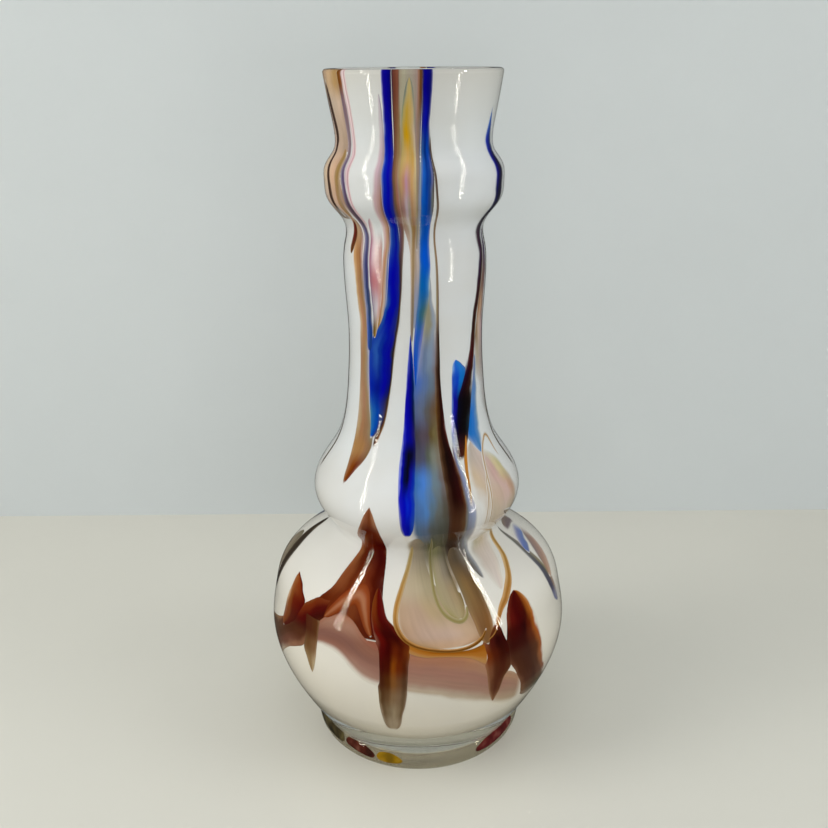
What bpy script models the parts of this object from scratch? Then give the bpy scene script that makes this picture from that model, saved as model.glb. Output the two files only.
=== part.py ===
"""Hand blown cased glass vase with trapped colour streaks, on an applied clear foot.

The vase stands on its foot: +Z is up, the origin is the middle of the base, and the
front is -Y. From the inside out it is an opal white bubble (the liner), a thin layer
of streaks of coloured glass laid on it, and a clear casing gathered over both. The
foot is a clear core with chips of colour on its side and a clear wrap around them.
"""

import math

import bmesh
import bpy
import numpy as np

MM = 0.001

# Outline of the clear casing as (height, radius) in mm: globe, first waist, lower
# bulge, long neck, second waist, upper bulge, third waist and flared cup.
OUTLINE = [
    (9.3, 49.6), (18, 54.5), (30, 60.9), (45, 67.0), (60, 69.2), (75, 66.8), (88, 61.0),
    (97, 48.4), (103, 39.8), (108, 38.0), (113, 41.6), (120, 45.7), (128, 46.1),
    (136, 42.5), (146, 36.0), (158, 31.7), (175, 29.5), (200, 28.6), (225, 29.7),
    (233, 29.0), (238.5, 28.1), (244, 29.8), (251, 35.0), (258, 36.2), (265, 35.3),
    (270, 32.0), (275, 31.2), (285, 32.7), (300, 35.2),
]

# Heights in mm at which the turned shells have a ring of vertices.
RINGS = [
    34, 44, 56, 68, 79, 88, 94, 99, 103.5, 108, 112.5, 118, 124, 131, 138, 147, 158,
    175, 200, 222, 232, 238.5, 244.5, 251, 258, 265, 270, 275.5, 286,
]

SEGMENTS = 32          # sides of every turned piece
GAP = 0.3              # mm between pieces that touch
CASING_WALL = 2.3      # mm of clear glass outside the colour layer
LAYER = 1.2            # mm between casing and liner, where the streaks lie
STREAK = 0.5           # mm thickness of a streak
WIDE = 5.0             # mm of half width that asks for one more pair of columns
CHIP_STEP = 6.0        # degrees between a chip's columns
LINER_WALL = 1.6       # mm of opal glass
TOP = 300.0            # mm, top of the lip
LIP = 1.6              # mm of clear lip above the liner
FOOT_HEIGHT = 9.0      # mm
FOOT_RADIUS = 50.0     # mm
CORE_RADIUS = 45.6     # mm, side of the foot's core, where the chips lie
CHIP_POCKET = 1.2      # mm between core and wrap
BASE_CLEAR = 10.5      # mm of solid clear glass under the casing's inside
PONTIL_RADIUS = 14.0   # mm, ground hollow where the pontil iron was
PONTIL_DEPTH = 1.2     # mm
PONTIL_SLOPE = 3.0     # mm, width of the hollow's sloping edge
EDGE = 0.8             # mm, width of the small bevels on lip and foot
BODY_BASE = FOOT_HEIGHT + GAP
CASING_FLOOR = BODY_BASE + BASE_CLEAR
LINER_BASE = CASING_FLOOR + GAP

# Rounded corners between floor and wall, as (radius, rise above the floor) in mm.
CASING_HEEL = [(46.0, 0.0), (49.0, 0.8), (51.0, 3.3)]
CASING_INSIDE_CORNER = [(32.0, 0.0), (44.0, 3.2)]
LINER_HEEL = [(31.0, 0.0), (43.2, 3.4)]
LINER_FLOOR = 2.0      # mm of opal glass in the liner's floor
LINER_INSIDE_CORNER = [(31.0, 0.0), (42.0, 3.0)]
LOWEST_OUTER_RING = 21.0


def spline(points):
    """Natural cubic spline through (x, y) points, and its slope."""
    x, y = np.array(points, float).T
    step = np.diff(x)
    count = len(x)
    matrix = np.eye(count)
    right = np.zeros(count)
    for i in range(1, count - 1):
        matrix[i, i - 1:i + 2] = step[i - 1], 2 * (step[i - 1] + step[i]), step[i]
        right[i] = 6 * ((y[i + 1] - y[i]) / step[i] - (y[i] - y[i - 1]) / step[i - 1])
    bend = np.linalg.solve(matrix, right)

    def value(at):
        i = int(np.clip(np.searchsorted(x, at) - 1, 0, count - 2))
        h = step[i]
        a = (x[i + 1] - at) / h
        b = (at - x[i]) / h
        cubic = ((a ** 3 - a) * bend[i] + (b ** 3 - b) * bend[i + 1]) * h * h / 6
        steep = ((3 * b * b - 1) * bend[i + 1] - (3 * a * a - 1) * bend[i]) * h / 6
        return a * y[i] + b * y[i + 1] + cubic, (y[i + 1] - y[i]) / h + steep

    return value


outline = spline(OUTLINE)


def wall_radius(height, depth):
    """Radius in mm at a ring height, measured depth mm into the glass along its normal."""
    radius, slope = outline(height)
    return radius - depth * math.sqrt(1 + slope * slope)


def layer_radius(height, depth):
    """The same between rings, on the straight line that joins two rings."""
    rings = [*RINGS, TOP]
    return float(np.interp(height, rings, [wall_radius(z, depth) for z in rings]))


def glass(name, colour, roughness=0.08, clear=0.0):
    """Principled glass material; clear is its transmission."""
    material = bpy.data.materials.new(name)
    material.use_nodes = True
    shader = material.node_tree.nodes["Principled BSDF"]
    shader.inputs["Base Color"].default_value = (*colour, 1)
    shader.inputs["Roughness"].default_value = roughness
    shader.inputs["Metallic"].default_value = 0.0
    shader.inputs["IOR"].default_value = 1.5
    shader.inputs["Transmission Weight"].default_value = clear
    material.diffuse_color = (*colour, 1)
    return material


def add_object(name, mesh, material):
    """Link a mesh as a named object with one material."""
    mesh.materials.append(material)
    thing = bpy.data.objects.new(name, mesh)
    bpy.context.collection.objects.link(thing)
    return thing


def turned(name, profile, material):
    """Turn an open (radius, height) profile in mm about Z.

    The profile starts and ends on the axis, or is closed by its last point, and runs
    down its outer side, so that the faces point out.
    """
    mesh = bpy.data.meshes.new(name)
    points = [(radius * MM, 0, height * MM) for radius, height in profile]
    edges = [(i, i + 1) for i in range(len(points) - 1)]
    if profile[0][0] > 0:
        edges.append((len(points) - 1, 0))
    mesh.from_pydata(points, edges, [])
    thing = add_object(name, mesh, material)
    screw = thing.modifiers.new("Turn", "SCREW")
    screw.axis = "Z"
    screw.angle = 2 * math.pi
    screw.steps = SEGMENTS
    screw.render_steps = SEGMENTS
    screw.use_merge_vertices = True
    screw.merge_threshold = 0.00001
    screw.use_smooth_shade = True
    return thing


def around(radius):
    """Radius of a polygon whose sides touch a circle, for inner walls."""
    return radius / math.cos(math.pi / SEGMENTS)


def corner(points, floor):
    """Corner points lifted to stand on a floor at the given height."""
    return [(radius, floor + rise) for radius, rise in points]


def clear_casing(material):
    """Outer clear shell: solid base, wall, and a lip that rolls in over the liner."""
    inner = [(0, CASING_FLOOR)] + corner(CASING_INSIDE_CORNER, CASING_FLOOR)
    inner += [(around(wall_radius(z, CASING_WALL)), z) for z in RINGS]
    under_lip = TOP - LIP
    mouth = wall_radius(under_lip, CASING_WALL + LAYER + LINER_WALL)
    lip = [
        (around(wall_radius(under_lip, CASING_WALL)), under_lip),
        (mouth, under_lip),
        (mouth, TOP - EDGE),
        (mouth + 2 * EDGE, TOP),
        (wall_radius(TOP, 2 * EDGE), TOP),
        (wall_radius(TOP, 0), TOP - EDGE),
    ]
    outer = [(wall_radius(z, 0), z) for z in reversed([LOWEST_OUTER_RING, *RINGS])]
    under = corner(CASING_HEEL, BODY_BASE)[::-1] + [(0, BODY_BASE)]
    return turned("clear_casing", inner + lip + outer + under, material)


def opal_liner(material):
    """The white bubble inside the casing, open at the top."""
    outside = CASING_WALL + LAYER
    inside = outside + LINER_WALL
    floor = LINER_BASE + LINER_FLOOR
    top = TOP - LIP - GAP
    inner = [(0, floor)] + corner(LINER_INSIDE_CORNER, floor)
    inner += [(wall_radius(z, inside), z) for z in RINGS]
    rim = [(wall_radius(top, inside), top), (wall_radius(top, outside), top)]
    outer = [(wall_radius(z, outside), z) for z in reversed(RINGS)]
    under = corner(LINER_HEEL, LINER_BASE)[::-1] + [(0, LINER_BASE)]
    return turned("opal_liner", inner + rim + outer + under, material)


def foot(material):
    """Clear core with a pontil hollow under it, and the clear wrap round the chips."""
    core = [
        (0, FOOT_HEIGHT), (CORE_RADIUS, FOOT_HEIGHT), (CORE_RADIUS, 0), (PONTIL_RADIUS, 0),
        (PONTIL_RADIUS - PONTIL_SLOPE, PONTIL_DEPTH), (0, PONTIL_DEPTH),
    ]
    inside = around(CORE_RADIUS + CHIP_POCKET)
    wrap = [
        (inside, 0), (inside, FOOT_HEIGHT), (FOOT_RADIUS - EDGE, FOOT_HEIGHT),
        (FOOT_RADIUS, FOOT_HEIGHT - EDGE), (FOOT_RADIUS, EDGE), (FOOT_RADIUS - EDGE, 0),
    ]
    return turned("foot_core", core, material), turned("foot_wrap", wrap, material)


def sheet(name, rows, material):
    """Thin piece whose middle surface is given by rows of (radius, azimuth, height).

    Azimuth is in degrees from the front, positive to the right seen from the front.
    """
    shape = bmesh.new()
    grid = []
    for row in rows:
        line = []
        for radius, azimuth, height in row:
            turn = math.radians(azimuth)
            place = (radius * math.sin(turn), -radius * math.cos(turn), height)
            line.append(shape.verts.new([c * MM for c in place]))
        grid.append(line)
    for upper, lower in zip(grid, grid[1:]):
        for i in range(len(upper) - 1):
            shape.faces.new((upper[i], lower[i], lower[i + 1], upper[i + 1]))
    mesh = bpy.data.meshes.new(name)
    shape.to_mesh(mesh)
    shape.free()
    mesh.shade_smooth()
    thing = add_object(name, mesh, material)
    thicken = thing.modifiers.new("Thickness", "SOLIDIFY")
    thicken.thickness = STREAK * MM
    thicken.offset = 0.0
    return thing


def streak(name, material, points):
    """Streak in the colour layer, from (height, azimuth, half width in mm), top first."""
    depth = CASING_WALL + LAYER / 2
    table = np.array(sorted(points), float)
    low, high = table[0, 0], table[-1, 0]
    heights = sorted({low, high, *table[:, 0], *[z for z in RINGS if low < z < high]})
    columns = 2 * max(1, round(table[:, 2].max() / WIDE))
    rows = []
    for z in reversed(heights):
        radius = layer_radius(z, depth)
        middle = np.interp(z, table[:, 0], table[:, 1])
        half = math.degrees(np.interp(z, table[:, 0], table[:, 2]) / radius)
        spread = np.linspace(-half, half, columns + 1)
        rows.append([(radius, middle + turn, z) for turn in spread])
    return sheet(name, rows, material)


def chip(name, material, start, end, low, high):
    """Chip of colour on the side of the foot's core, between two azimuths and heights."""
    radius = CORE_RADIUS + CHIP_POCKET / 2
    turns = np.linspace(start, end, 2 + int((end - start) / CHIP_STEP))
    rows = [[(radius, turn, z) for turn in turns] for z in (high, low)]
    return sheet(name, rows, material)


# Streaks as (height, azimuth, half width), top first: heights and widths in mm,
# azimuth in degrees from the front, positive to the right.
FRONT = {
    "cobalt_stripe_left": ("cobalt", [
        (297, -16.5, 1.5), (280, -17.9, 1.6), (260, -17, 1.9), (225, -17, 2.2),
        (205, -22, 3.0), (188, -33, 5.6), (172, -35.5, 4.6), (156, -38, 1.2)]),
    "violet_branch_left": ("violet", [
        (296, -54, 1.0), (270, -54.5, 1.0), (258, -50, 1.1), (240, -46, 1.0),
        (220, -43.5, 1.1), (202, -43.5, 1.0)]),
    "olive_band_left": ("olive", [
        (295, -63, 2.0), (275, -64, 1.8), (260, -60, 2.2), (248, -60, 1.6)]),
    "tan_drip_left": ("tan", [
        (232, -57, 1.4), (215, -54, 2.0), (175, -52, 2.2), (158, -50, 3.2),
        (146, -47, 4.4), (135, -45.5, 1.2)]),
    "pink_tongue": ("pink", [
        (246, -36, 1.6), (236, -34.5, 2.6), (222, -34.5, 2.2), (206, -37, 0.7)]),
    "umber_thread_left": ("umber", [
        (297, -11.3, 0.8), (280, -12.4, 0.7), (260, -11.4, 0.7), (240, -10.2, 0.5),
        (225, -9.6, 0.5), (212, -11.5, 0.5)]),
    "honey_feather": ("honey", [
        (296.5, -3, 0.7), (285, -4.5, 2.2), (268, -5, 2.7), (255, -4, 2.5),
        (244, -2.5, 1.8), (225, -2.2, 0.6), (204, -3, 0.5)]),
    "umber_thread_right": ("umber", [
        (297, 4.2, 0.6), (285, 3.2, 0.6), (270, 2.6, 0.5), (252, 2.6, 0.4)]),
    "cobalt_stripe_right": ("azure", [
        (297, 9.2, 1.5), (270, 8.7, 1.6), (250, 8.3, 1.8), (230, 8.2, 1.9),
        (212, 7, 1.6), (200, 4, 1.3), (188, 2.5, 0.6)]),
    "cobalt_tongue_centre": ("cobalt", [
        (198, -5, 0.5), (185, -5.5, 1.0), (170, -5, 1.9), (145, -6, 2.9),
        (128, -5.2, 2.6), (117, -6, 1.0)]),
    "slate_veil": ("slate", [
        (182, 8, 1.2), (165, 7.5, 2.6), (145, 8, 3.6), (126, 8, 3.8), (112, 9, 3.2),
        (104, 10, 2.0)]),
    "oxblood_streak": ("oxblood", [
        (266, 13.6, 0.4), (250, 15.2, 0.4), (230, 17, 0.5), (205, 19.2, 0.6),
        (180, 20.6, 0.8), (160, 21.5, 1.4), (142, 23.5, 2.8), (126, 23, 2.8),
        (112, 22, 2.0)]),
    "azure_patch": ("azure", [
        (188, 38, 1.0), (182, 37, 1.8), (172, 35, 1.1), (160, 33, 0.7), (154, 32, 0.5)]),
    "violet_band_right": ("violet", [
        (290, 71, 0.4), (275, 70, 0.9), (258, 70, 1.3), (240, 70, 1.0), (222, 66.5, 1.0),
        (206, 62.5, 1.1), (194, 57, 1.5), (182, 50.5, 1.8), (170, 44, 2.6),
        (158, 39.8, 1.9), (147, 34.8, 1.0)]),
    "azure_patch_low": ("azure", [
        (178, 61, 0.8), (168, 56, 2.5), (157, 52.5, 2.9), (148, 55, 1.6)]),
    "amber_thread_right": ("amber", [(152, 43, 0.5), (140, 36.5, 0.8), (131, 33.5, 0.6)]),
    "pink_leaf_right": ("pink", [
        (146, 62, 1.2), (136, 60, 3.0), (124, 56, 2.6), (114, 52, 0.8)]),
    "slate_sliver": ("slate", [(132, 30.4, 0.7), (122, 30, 1.3), (112, 31.5, 1.0)]),
    "oxblood_waist": ("oxblood", [
        (128, -27, 0.8), (119, -27.5, 3.8), (107, -29, 5.2), (98, -31, 7.0),
        (93, -33, 6.5)]),
    "oxblood_branch_left": ("oxblood", [
        (90.5, -41, 3.5), (84, -47, 7.5), (78, -53, 9.5), (72, -53, 8.0), (66, -47, 3.5),
        (58, -43, 1.0)]),
    "oxblood_drip_left": ("oxblood", [
        (93, -19.5, 1.2), (86, -17, 3.0), (78, -12.5, 5.0), (66, -9.5, 6.2),
        (52, -9.5, 6.0), (40, -10.5, 3.8), (34, -11, 1.2)]),
    "mauve_band_left": ("mauve", [
        (85, -31, 2.5), (79, -30.5, 8.0), (71, -28.5, 9.5), (64, -22.5, 4.5)]),
    "cream_veil": ("cream", [(97, 8, 8), (90, 9, 12.5), (84, 11, 12), (80, 15, 7)]),
    "amber_band": ("amber", [(77.8, 2, 3), (75.5, 7, 9), (73, 14, 9), (70.8, 19.5, 3)]),
    "mauve_band_right": ("mauve", [
        (68, 8, 8), (61, 10.5, 13), (53, 11, 12.5), (47.5, 14, 6)]),
    "oxblood_drip_right": ("oxblood", [
        (80, 30.5, 1.5), (74, 29, 4.2), (64, 28.5, 4.2), (54, 29, 3.2), (46, 28.5, 1.0)]),
    "oxblood_leaf_right": ("oxblood", [
        (87, 45.5, 1.5), (80, 42.5, 7.2), (70, 43.5, 9.6), (58, 46.5, 9.5), (46, 49, 8),
        (36, 53, 3)]),
    "violet_shoulder_right": ("violet", [
        (104, 72, 1.2), (95, 74, 2.8), (84, 73, 4.0), (72, 71, 2.0)]),
    "umber_shoulder_left": ("umber", [
        (104, -84, 1.4), (94, -84, 3.0), (82, -85, 3.6), (70, -88, 1.6)]),
}

BACK = {
    "cobalt_stripe_back": ("cobalt", [
        (297, 166, 1.6), (270, 167, 1.8), (250, 166, 1.9), (225, 163, 2.2),
        (205, 157, 3.2), (185, 149, 5.2), (168, 145, 4.0), (154, 142, 1.0)]),
    "amber_thread_back": ("amber", [
        (297, 172, 0.8), (272, 173, 0.8), (250, 172.5, 0.8), (228, 170, 0.7),
        (208, 167, 0.6)]),
    "honey_feather_back": ("honey", [
        (296, 182, 0.8), (280, 181, 2.3), (262, 180, 2.8), (246, 179, 1.8),
        (225, 177, 0.9), (200, 174, 0.6)]),
    "azure_stripe_back": ("azure", [
        (297, 196, 1.5), (268, 196, 1.7), (245, 195, 1.7), (225, 193, 2.0),
        (200, 188, 2.6), (175, 183, 3.4), (150, 180, 3.4), (128, 180, 3.0),
        (116, 181, 1.0)]),
    "violet_band_back": ("violet", [
        (280, 128, 0.5), (262, 127, 1.2), (240, 126, 1.0), (215, 124, 1.0),
        (190, 119, 1.4), (168, 111, 2.6), (150, 105, 1.4)]),
    "tan_drip_back": ("tan", [
        (236, 222, 1.4), (215, 220, 1.9), (175, 218, 2.3), (152, 216, 3.8),
        (140, 214, 4.2), (130, 213, 1.2)]),
    "pink_leaf_back": ("pink", [
        (252, 240, 1.2), (238, 239, 2.2), (215, 239, 2.6), (190, 241, 1.0)]),
    "oxblood_waist_back": ("oxblood", [
        (126, 158, 1.0), (117, 157, 4.0), (107, 156, 5.4), (98, 155, 7.0), (92, 154, 6.5)]),
    "oxblood_drip_back": ("oxblood", [
        (89.5, 151, 5.0), (80, 150, 6.0), (66, 151, 5.4), (52, 152, 4.6), (40, 152, 2.8),
        (34, 152, 1.0)]),
    "mauve_band_back": ("mauve", [
        (84, 178, 5.0), (76, 178, 12), (66, 176, 11), (58, 172, 5)]),
    "amber_leaf_back": ("amber", [
        (95, 205, 1.5), (86, 205, 6.0), (74, 206, 8.0), (60, 208, 6.0), (48, 209, 1.5)]),
    "oxblood_leaf_back": ("oxblood", [
        (86, 118, 1.5), (78, 117, 6.5), (66, 116, 8.0), (54, 116, 5.5), (44, 117, 1.2)]),
    "slate_veil_back": ("slate", [
        (96, 236, 2.0), (86, 237, 7.0), (74, 238, 7.5), (62, 240, 2.0)]),
}

CHIPS = {
    "foot_chip_olive": ("olive", -74, -47, 1.6, 7.6),
    "foot_chip_ruby_left": ("ruby", -44, -26, 1.6, 7.0),
    "foot_chip_yellow": ("honey", -23, -10, 1.6, 6.6),
    "foot_chip_ruby_right": ("ruby", 34, 66, 1.6, 7.4),
    "foot_chip_cobalt_back": ("cobalt", 140, 168, 1.6, 7.0),
    "foot_chip_amber_back": ("amber", 205, 230, 1.6, 6.8),
}

COLOURS = {
    "cobalt": (0.004, 0.006, 0.26), "azure": (0.005, 0.08, 0.46),
    "slate": (0.16, 0.19, 0.30), "violet": (0.03, 0.008, 0.03),
    "oxblood": (0.08, 0.008, 0.004), "umber": (0.12, 0.035, 0.018),
    "tan": (0.26, 0.15, 0.07), "olive": (0.24, 0.19, 0.08),
    "honey": (0.48, 0.32, 0.10), "amber": (0.42, 0.16, 0.02),
    "pink": (0.52, 0.24, 0.24), "mauve": (0.25, 0.13, 0.12),
    "cream": (0.58, 0.50, 0.42), "ruby": (0.18, 0.006, 0.012),
}


def main():
    for thing in list(bpy.data.objects):
        bpy.data.objects.remove(thing, do_unlink=True)
    clear = glass("clear glass", (0.90, 0.93, 0.91), 0.02, 1.0)
    tints = {name: glass(name + " glass", rgb) for name, rgb in COLOURS.items()}
    clear_casing(clear)
    opal_liner(glass("opal glass", (0.80, 0.79, 0.75), 0.12))
    foot(clear)
    for name, (tint, points) in {**FRONT, **BACK}.items():
        streak(name, tints[tint], points)
    for name, (tint, *place) in CHIPS.items():
        chip(name, tints[tint], *place)


main()
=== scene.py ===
"""Looks of the hand blown art glass vase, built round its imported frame.

From the inside out the vase is an opal bubble (the liner), streaks of coloured glass
laid on it, and a thick clear casing with a heavy clear base and an applied clear
foot. Places are in mm: heights from the table, azimuths in degrees from the front
(-Y), positive to the right, and depths into the glass from its outer face.
"""

import math

import bpy
import numpy as np
from mathutils import Matrix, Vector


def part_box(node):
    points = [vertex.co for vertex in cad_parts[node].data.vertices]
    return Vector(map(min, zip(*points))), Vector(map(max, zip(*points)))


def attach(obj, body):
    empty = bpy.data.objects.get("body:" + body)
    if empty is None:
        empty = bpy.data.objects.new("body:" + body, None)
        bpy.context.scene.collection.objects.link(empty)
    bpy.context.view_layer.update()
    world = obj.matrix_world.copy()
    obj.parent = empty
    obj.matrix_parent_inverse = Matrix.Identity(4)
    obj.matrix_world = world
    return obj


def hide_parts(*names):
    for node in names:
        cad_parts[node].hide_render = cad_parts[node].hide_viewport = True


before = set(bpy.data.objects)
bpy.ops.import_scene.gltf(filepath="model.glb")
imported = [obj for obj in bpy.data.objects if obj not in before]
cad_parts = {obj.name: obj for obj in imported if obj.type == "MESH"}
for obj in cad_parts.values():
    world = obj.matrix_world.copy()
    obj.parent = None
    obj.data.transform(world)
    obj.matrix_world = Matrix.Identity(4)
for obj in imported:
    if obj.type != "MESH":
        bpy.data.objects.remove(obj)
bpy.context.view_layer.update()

MM = 0.001
BODY = "root"
SCENE = bpy.context.scene

# Outline of the casing as (height, radius): globe, waist, lower bulge, long neck,
# second waist, upper bulge, third waist and flared cup.
OUTLINE = [
    (9.3, 49.6), (18, 54.5), (30, 60.9), (45, 66.96), (60, 69.08), (75, 66.75), (88, 61.0),
    (97, 48.4), (103, 39.8), (108, 38.0), (113, 41.6), (120, 45.7), (128, 46.1),
    (136, 42.5), (146, 36.0), (158, 31.7), (175, 29.5), (200, 28.6), (225, 29.7),
    (233, 29.0), (238.5, 28.1), (244, 29.8), (251, 35.0), (258, 36.2), (265, 35.3),
    (270, 32.0), (275, 31.2), (285, 32.7), (300, 35.2),
]
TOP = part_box("clear_casing")[1].z / MM       # lip
FOOT_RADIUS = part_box("foot_wrap")[1].x / MM
OPAL_FACE = 3.3       # depth of the opal's outer face
BURIED = 4.1          # depth at which the clear glass ends, inside the opal
BORE = 5.1            # depth of the bore
SEGMENTS = 256
RIM = 299.3           # height of the opal's rim under the clear lip
RIM_CHAMFER = 0.6     # mm, on the rim's inner edge


# ---------------------------------------------------------------- shapes

def natural_spline(points):
    """Natural cubic spline through (x, y): returns a function giving value and slope.

    The bends at the knots solve the usual three-term equations, and between knots the
    value is the straight line plus the two cubic terms of those bends.
    """
    x, y = np.array(points, float).T
    step = np.diff(x)
    count = len(x)
    matrix = np.eye(count)
    right = np.zeros(count)
    inner = np.arange(1, count - 1)
    matrix[inner, inner - 1] = step[:-1]
    matrix[inner, inner] = 2 * (step[:-1] + step[1:])
    matrix[inner, inner + 1] = step[1:]
    right[inner] = 6 * (np.diff(y[1:]) / step[1:] - np.diff(y[:-1]) / step[:-1])
    bend = np.linalg.solve(matrix, right)

    def value(at):
        i = np.clip(np.searchsorted(x, at) - 1, 0, count - 2)
        h = step[i]
        a = (x[i + 1] - at) / h
        b = (at - x[i]) / h
        cubic = ((a ** 3 - a) * bend[i] + (b ** 3 - b) * bend[i + 1]) * h * h / 6
        steep = ((3 * b * b - 1) * bend[i + 1] - (3 * a * a - 1) * bend[i]) * h / 6
        return a * y[i] + b * y[i + 1] + cubic, (y[i + 1] - y[i]) / h + steep

    return value


outline = natural_spline(OUTLINE)


def wall_radius(height, depth):
    """Radius at a height, depth mm into the glass: r - depth * sqrt(1 + slope^2)."""
    radius, slope = outline(np.asarray(height, float))
    return radius - depth * np.sqrt(1 + slope * slope)


def smooth(table, steps):
    """Rows of a table joined by a cubic curve through each column, at even steps.

    Each span is a Hermite cubic whose end slopes are half the step across the knot.
    """
    table = np.array(table, float)
    knots = np.arange(len(table))
    slope = np.gradient(table, axis=0)
    at = np.linspace(0, len(table) - 1, steps)
    i = np.minimum(at.astype(int), len(table) - 2)
    t = (at - knots[i])[:, None]
    start, end = table[i], table[i + 1]
    return (start * (1 + 2 * t) * (1 - t) ** 2 + slope[i] * t * (1 - t) ** 2
            + end * (3 - 2 * t) * t * t - slope[i + 1] * (1 - t) * t * t)


def solid(name, grid, material, around=None, cross=None, with_nodes=()):
    """A closed piece from a grid of points in mm, rows x columns x 3.

    Every row is a closed ring. The first and last rings are closed by a pole in their
    middle. around and cross hold the UV of each column and row, where a piece has UVs.
    A piece with a CAD node's name stands for that node, and for those in with_nodes.
    """
    rows, columns = grid.shape[:2]
    poles = grid[[0, -1]].mean(axis=1)
    points = np.vstack([grid.reshape(-1, 3), poles]) * MM
    index = np.arange(rows * columns).reshape(rows, columns)
    nexts = np.roll(index, -1, axis=1)
    quads = np.stack([index[:-1], nexts[:-1], nexts[1:], index[1:]], -1).reshape(-1, 4)
    first = np.full(columns, rows * columns)
    caps = np.vstack([
        np.stack([nexts[0], index[0], first], -1),
        np.stack([index[-1], nexts[-1], first + 1], -1),
    ])
    a, b, c = (points[quads[:, k]] for k in (0, 1, 2))
    d = points[quads[:, 3]]
    volume = (a * np.cross(b, c)).sum() + (a * np.cross(c, d)).sum()
    if volume < 0:
        quads = quads[:, ::-1]
        caps = caps[:, ::-1]
    mesh = bpy.data.meshes.new(name)
    mesh.from_pydata(points.tolist(), [], quads.tolist() + caps.tolist())
    if around is not None:
        corner = np.zeros(len(mesh.loops), np.int32)
        mesh.loops.foreach_get("vertex_index", corner)
        flat = np.empty((rows * columns + 2, 2))
        flat[:-2, 0] = np.tile(around, rows)
        flat[:-2, 1] = np.repeat(cross, columns)
        flat[-2:] = [(0.5, cross[0]), (0.5, cross[-1])]
        layer = mesh.uv_layers.new(name="Streak")
        layer.data.foreach_set("uv", flat[corner].ravel())
    mesh.polygons.foreach_set("use_smooth", np.ones(len(mesh.polygons), bool))
    mesh.materials.append(material)
    mesh.update()
    piece = bpy.data.objects.new(name, mesh)
    bpy.context.collection.objects.link(piece)
    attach(piece, BODY)
    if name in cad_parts:
        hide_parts(name, *with_nodes)
    return piece


def turned(name, profile, material, with_nodes=()):
    """A profile of (radius, height) turned about Z: x = r sin a, y = -r cos a."""
    profile = np.array(profile, float)
    turn = np.linspace(0, 2 * np.pi, SEGMENTS, endpoint=False)
    radius = profile[:, 0, None]
    grid = np.stack([
        radius * np.sin(turn), -radius * np.cos(turn),
        np.repeat(profile[:, 1, None], SEGMENTS, axis=1),
    ], -1)
    return solid(name, grid, material, with_nodes=with_nodes)


ACROSS = 26           # columns on a streak's outer face
INNER_EVERY = 3       # the inner face has one column for each three outer ones
FACE_LIFT = 0.08      # mm a streak stands proud of the opal
LAYER_LIFT = 0.045    # mm more for each layer over it
DIP = 0.07            # mm a streak's edges lie under the opal's face
UNDER = 0.25          # mm its inner face lies under it
EDGE_POWER = 8        # the face is flat nearly to its edges
NARROWEST = 0.02      # share of the width that is left at a rounded tip


def lens(name, slot, left, right, material, layer, radius=wall_radius, face=OPAL_FACE):
    """A thin closed streak between two edges, each an array of (azimuth, height).

    Across, places run straight from the left edge to the right edge. The outer face
    lies just over the opal and bends under it at both edges: depth = face + dip
    - rise * (1 - |s|^8) for s from -1 to 1, and the inner face lies under the opal.
    """
    s = np.linspace(-1, 1, ACROSS)
    mix = (s + 1) / 2
    outer = left[:, None] + (right - left)[:, None] * mix[None, :, None]
    rise = DIP + FACE_LIFT + LAYER_LIFT * layer
    depth = face + DIP - rise * (1 - np.abs(s) ** EDGE_POWER)
    depth = np.repeat(depth[None], len(left), 0)
    back = outer[:, -2:0:-1][:, ::INNER_EVERY]
    places = np.concatenate([outer, back], axis=1)
    depths = np.concatenate([depth, np.full(back.shape[:2], face + UNDER)], axis=1)
    across = np.concatenate([mix, mix[-2:0:-1][::INNER_EVERY]])
    turn = np.radians(places[..., 0])
    height = places[..., 1]
    ring = radius(height, depths)
    grid = np.stack([ring * np.sin(turn), -ring * np.cos(turn), height], -1)
    along = np.linspace(0, 1, len(left))
    return solid(name, grid, material, across, along)


def rounded(steps, length, start, end):
    """Factor that closes a band's ends as half ellipses, start and end mm long."""
    place = np.linspace(0, 1, steps) * length
    factor = np.ones(steps)
    for reach, from_end in ((start, place), (end, length - place)):
        if reach > 0:
            part = np.clip(1 - from_end / reach, 0, 1)
            factor *= np.sqrt(np.maximum(1 - part * part, NARROWEST ** 2))
    return factor


def opal_ring(height):
    """Radius of the opal's face at a height, for lengths measured along it."""
    return wall_radius(np.clip(height, 20, TOP), OPAL_FACE)


def length_of(path):
    """Length in mm of an array of (azimuth, height) on the opal's face."""
    ring = opal_ring((path[1:, 1] + path[:-1, 1]) / 2)
    step = np.diff(path, axis=0)
    return float(np.hypot(np.radians(step[:, 0]) * ring, step[:, 1]).sum())


def band(name, slot, ribs, material, layer=0, tips=(2, 2), steps=150, **more):
    """A streak through ribs of (height, left azimuth, right azimuth), top first.

    A rib may also be (left azimuth, height, right azimuth, height). A higher layer lies
    over a lower one, and tips are the lengths in mm of the rounded ends.
    """
    table = [r if len(r) == 4 else (r[1], r[0], r[2], r[0]) for r in ribs]
    edges = smooth(table, steps)
    left, right = edges[:, :2], edges[:, 2:]
    middle = (left + right) / 2
    factor = rounded(steps, length_of(middle), *tips)[:, None]
    left = middle + (left - middle) * factor
    right = middle + (right - middle) * factor
    return lens(name, slot, left, right, material, layer, **more)


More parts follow.
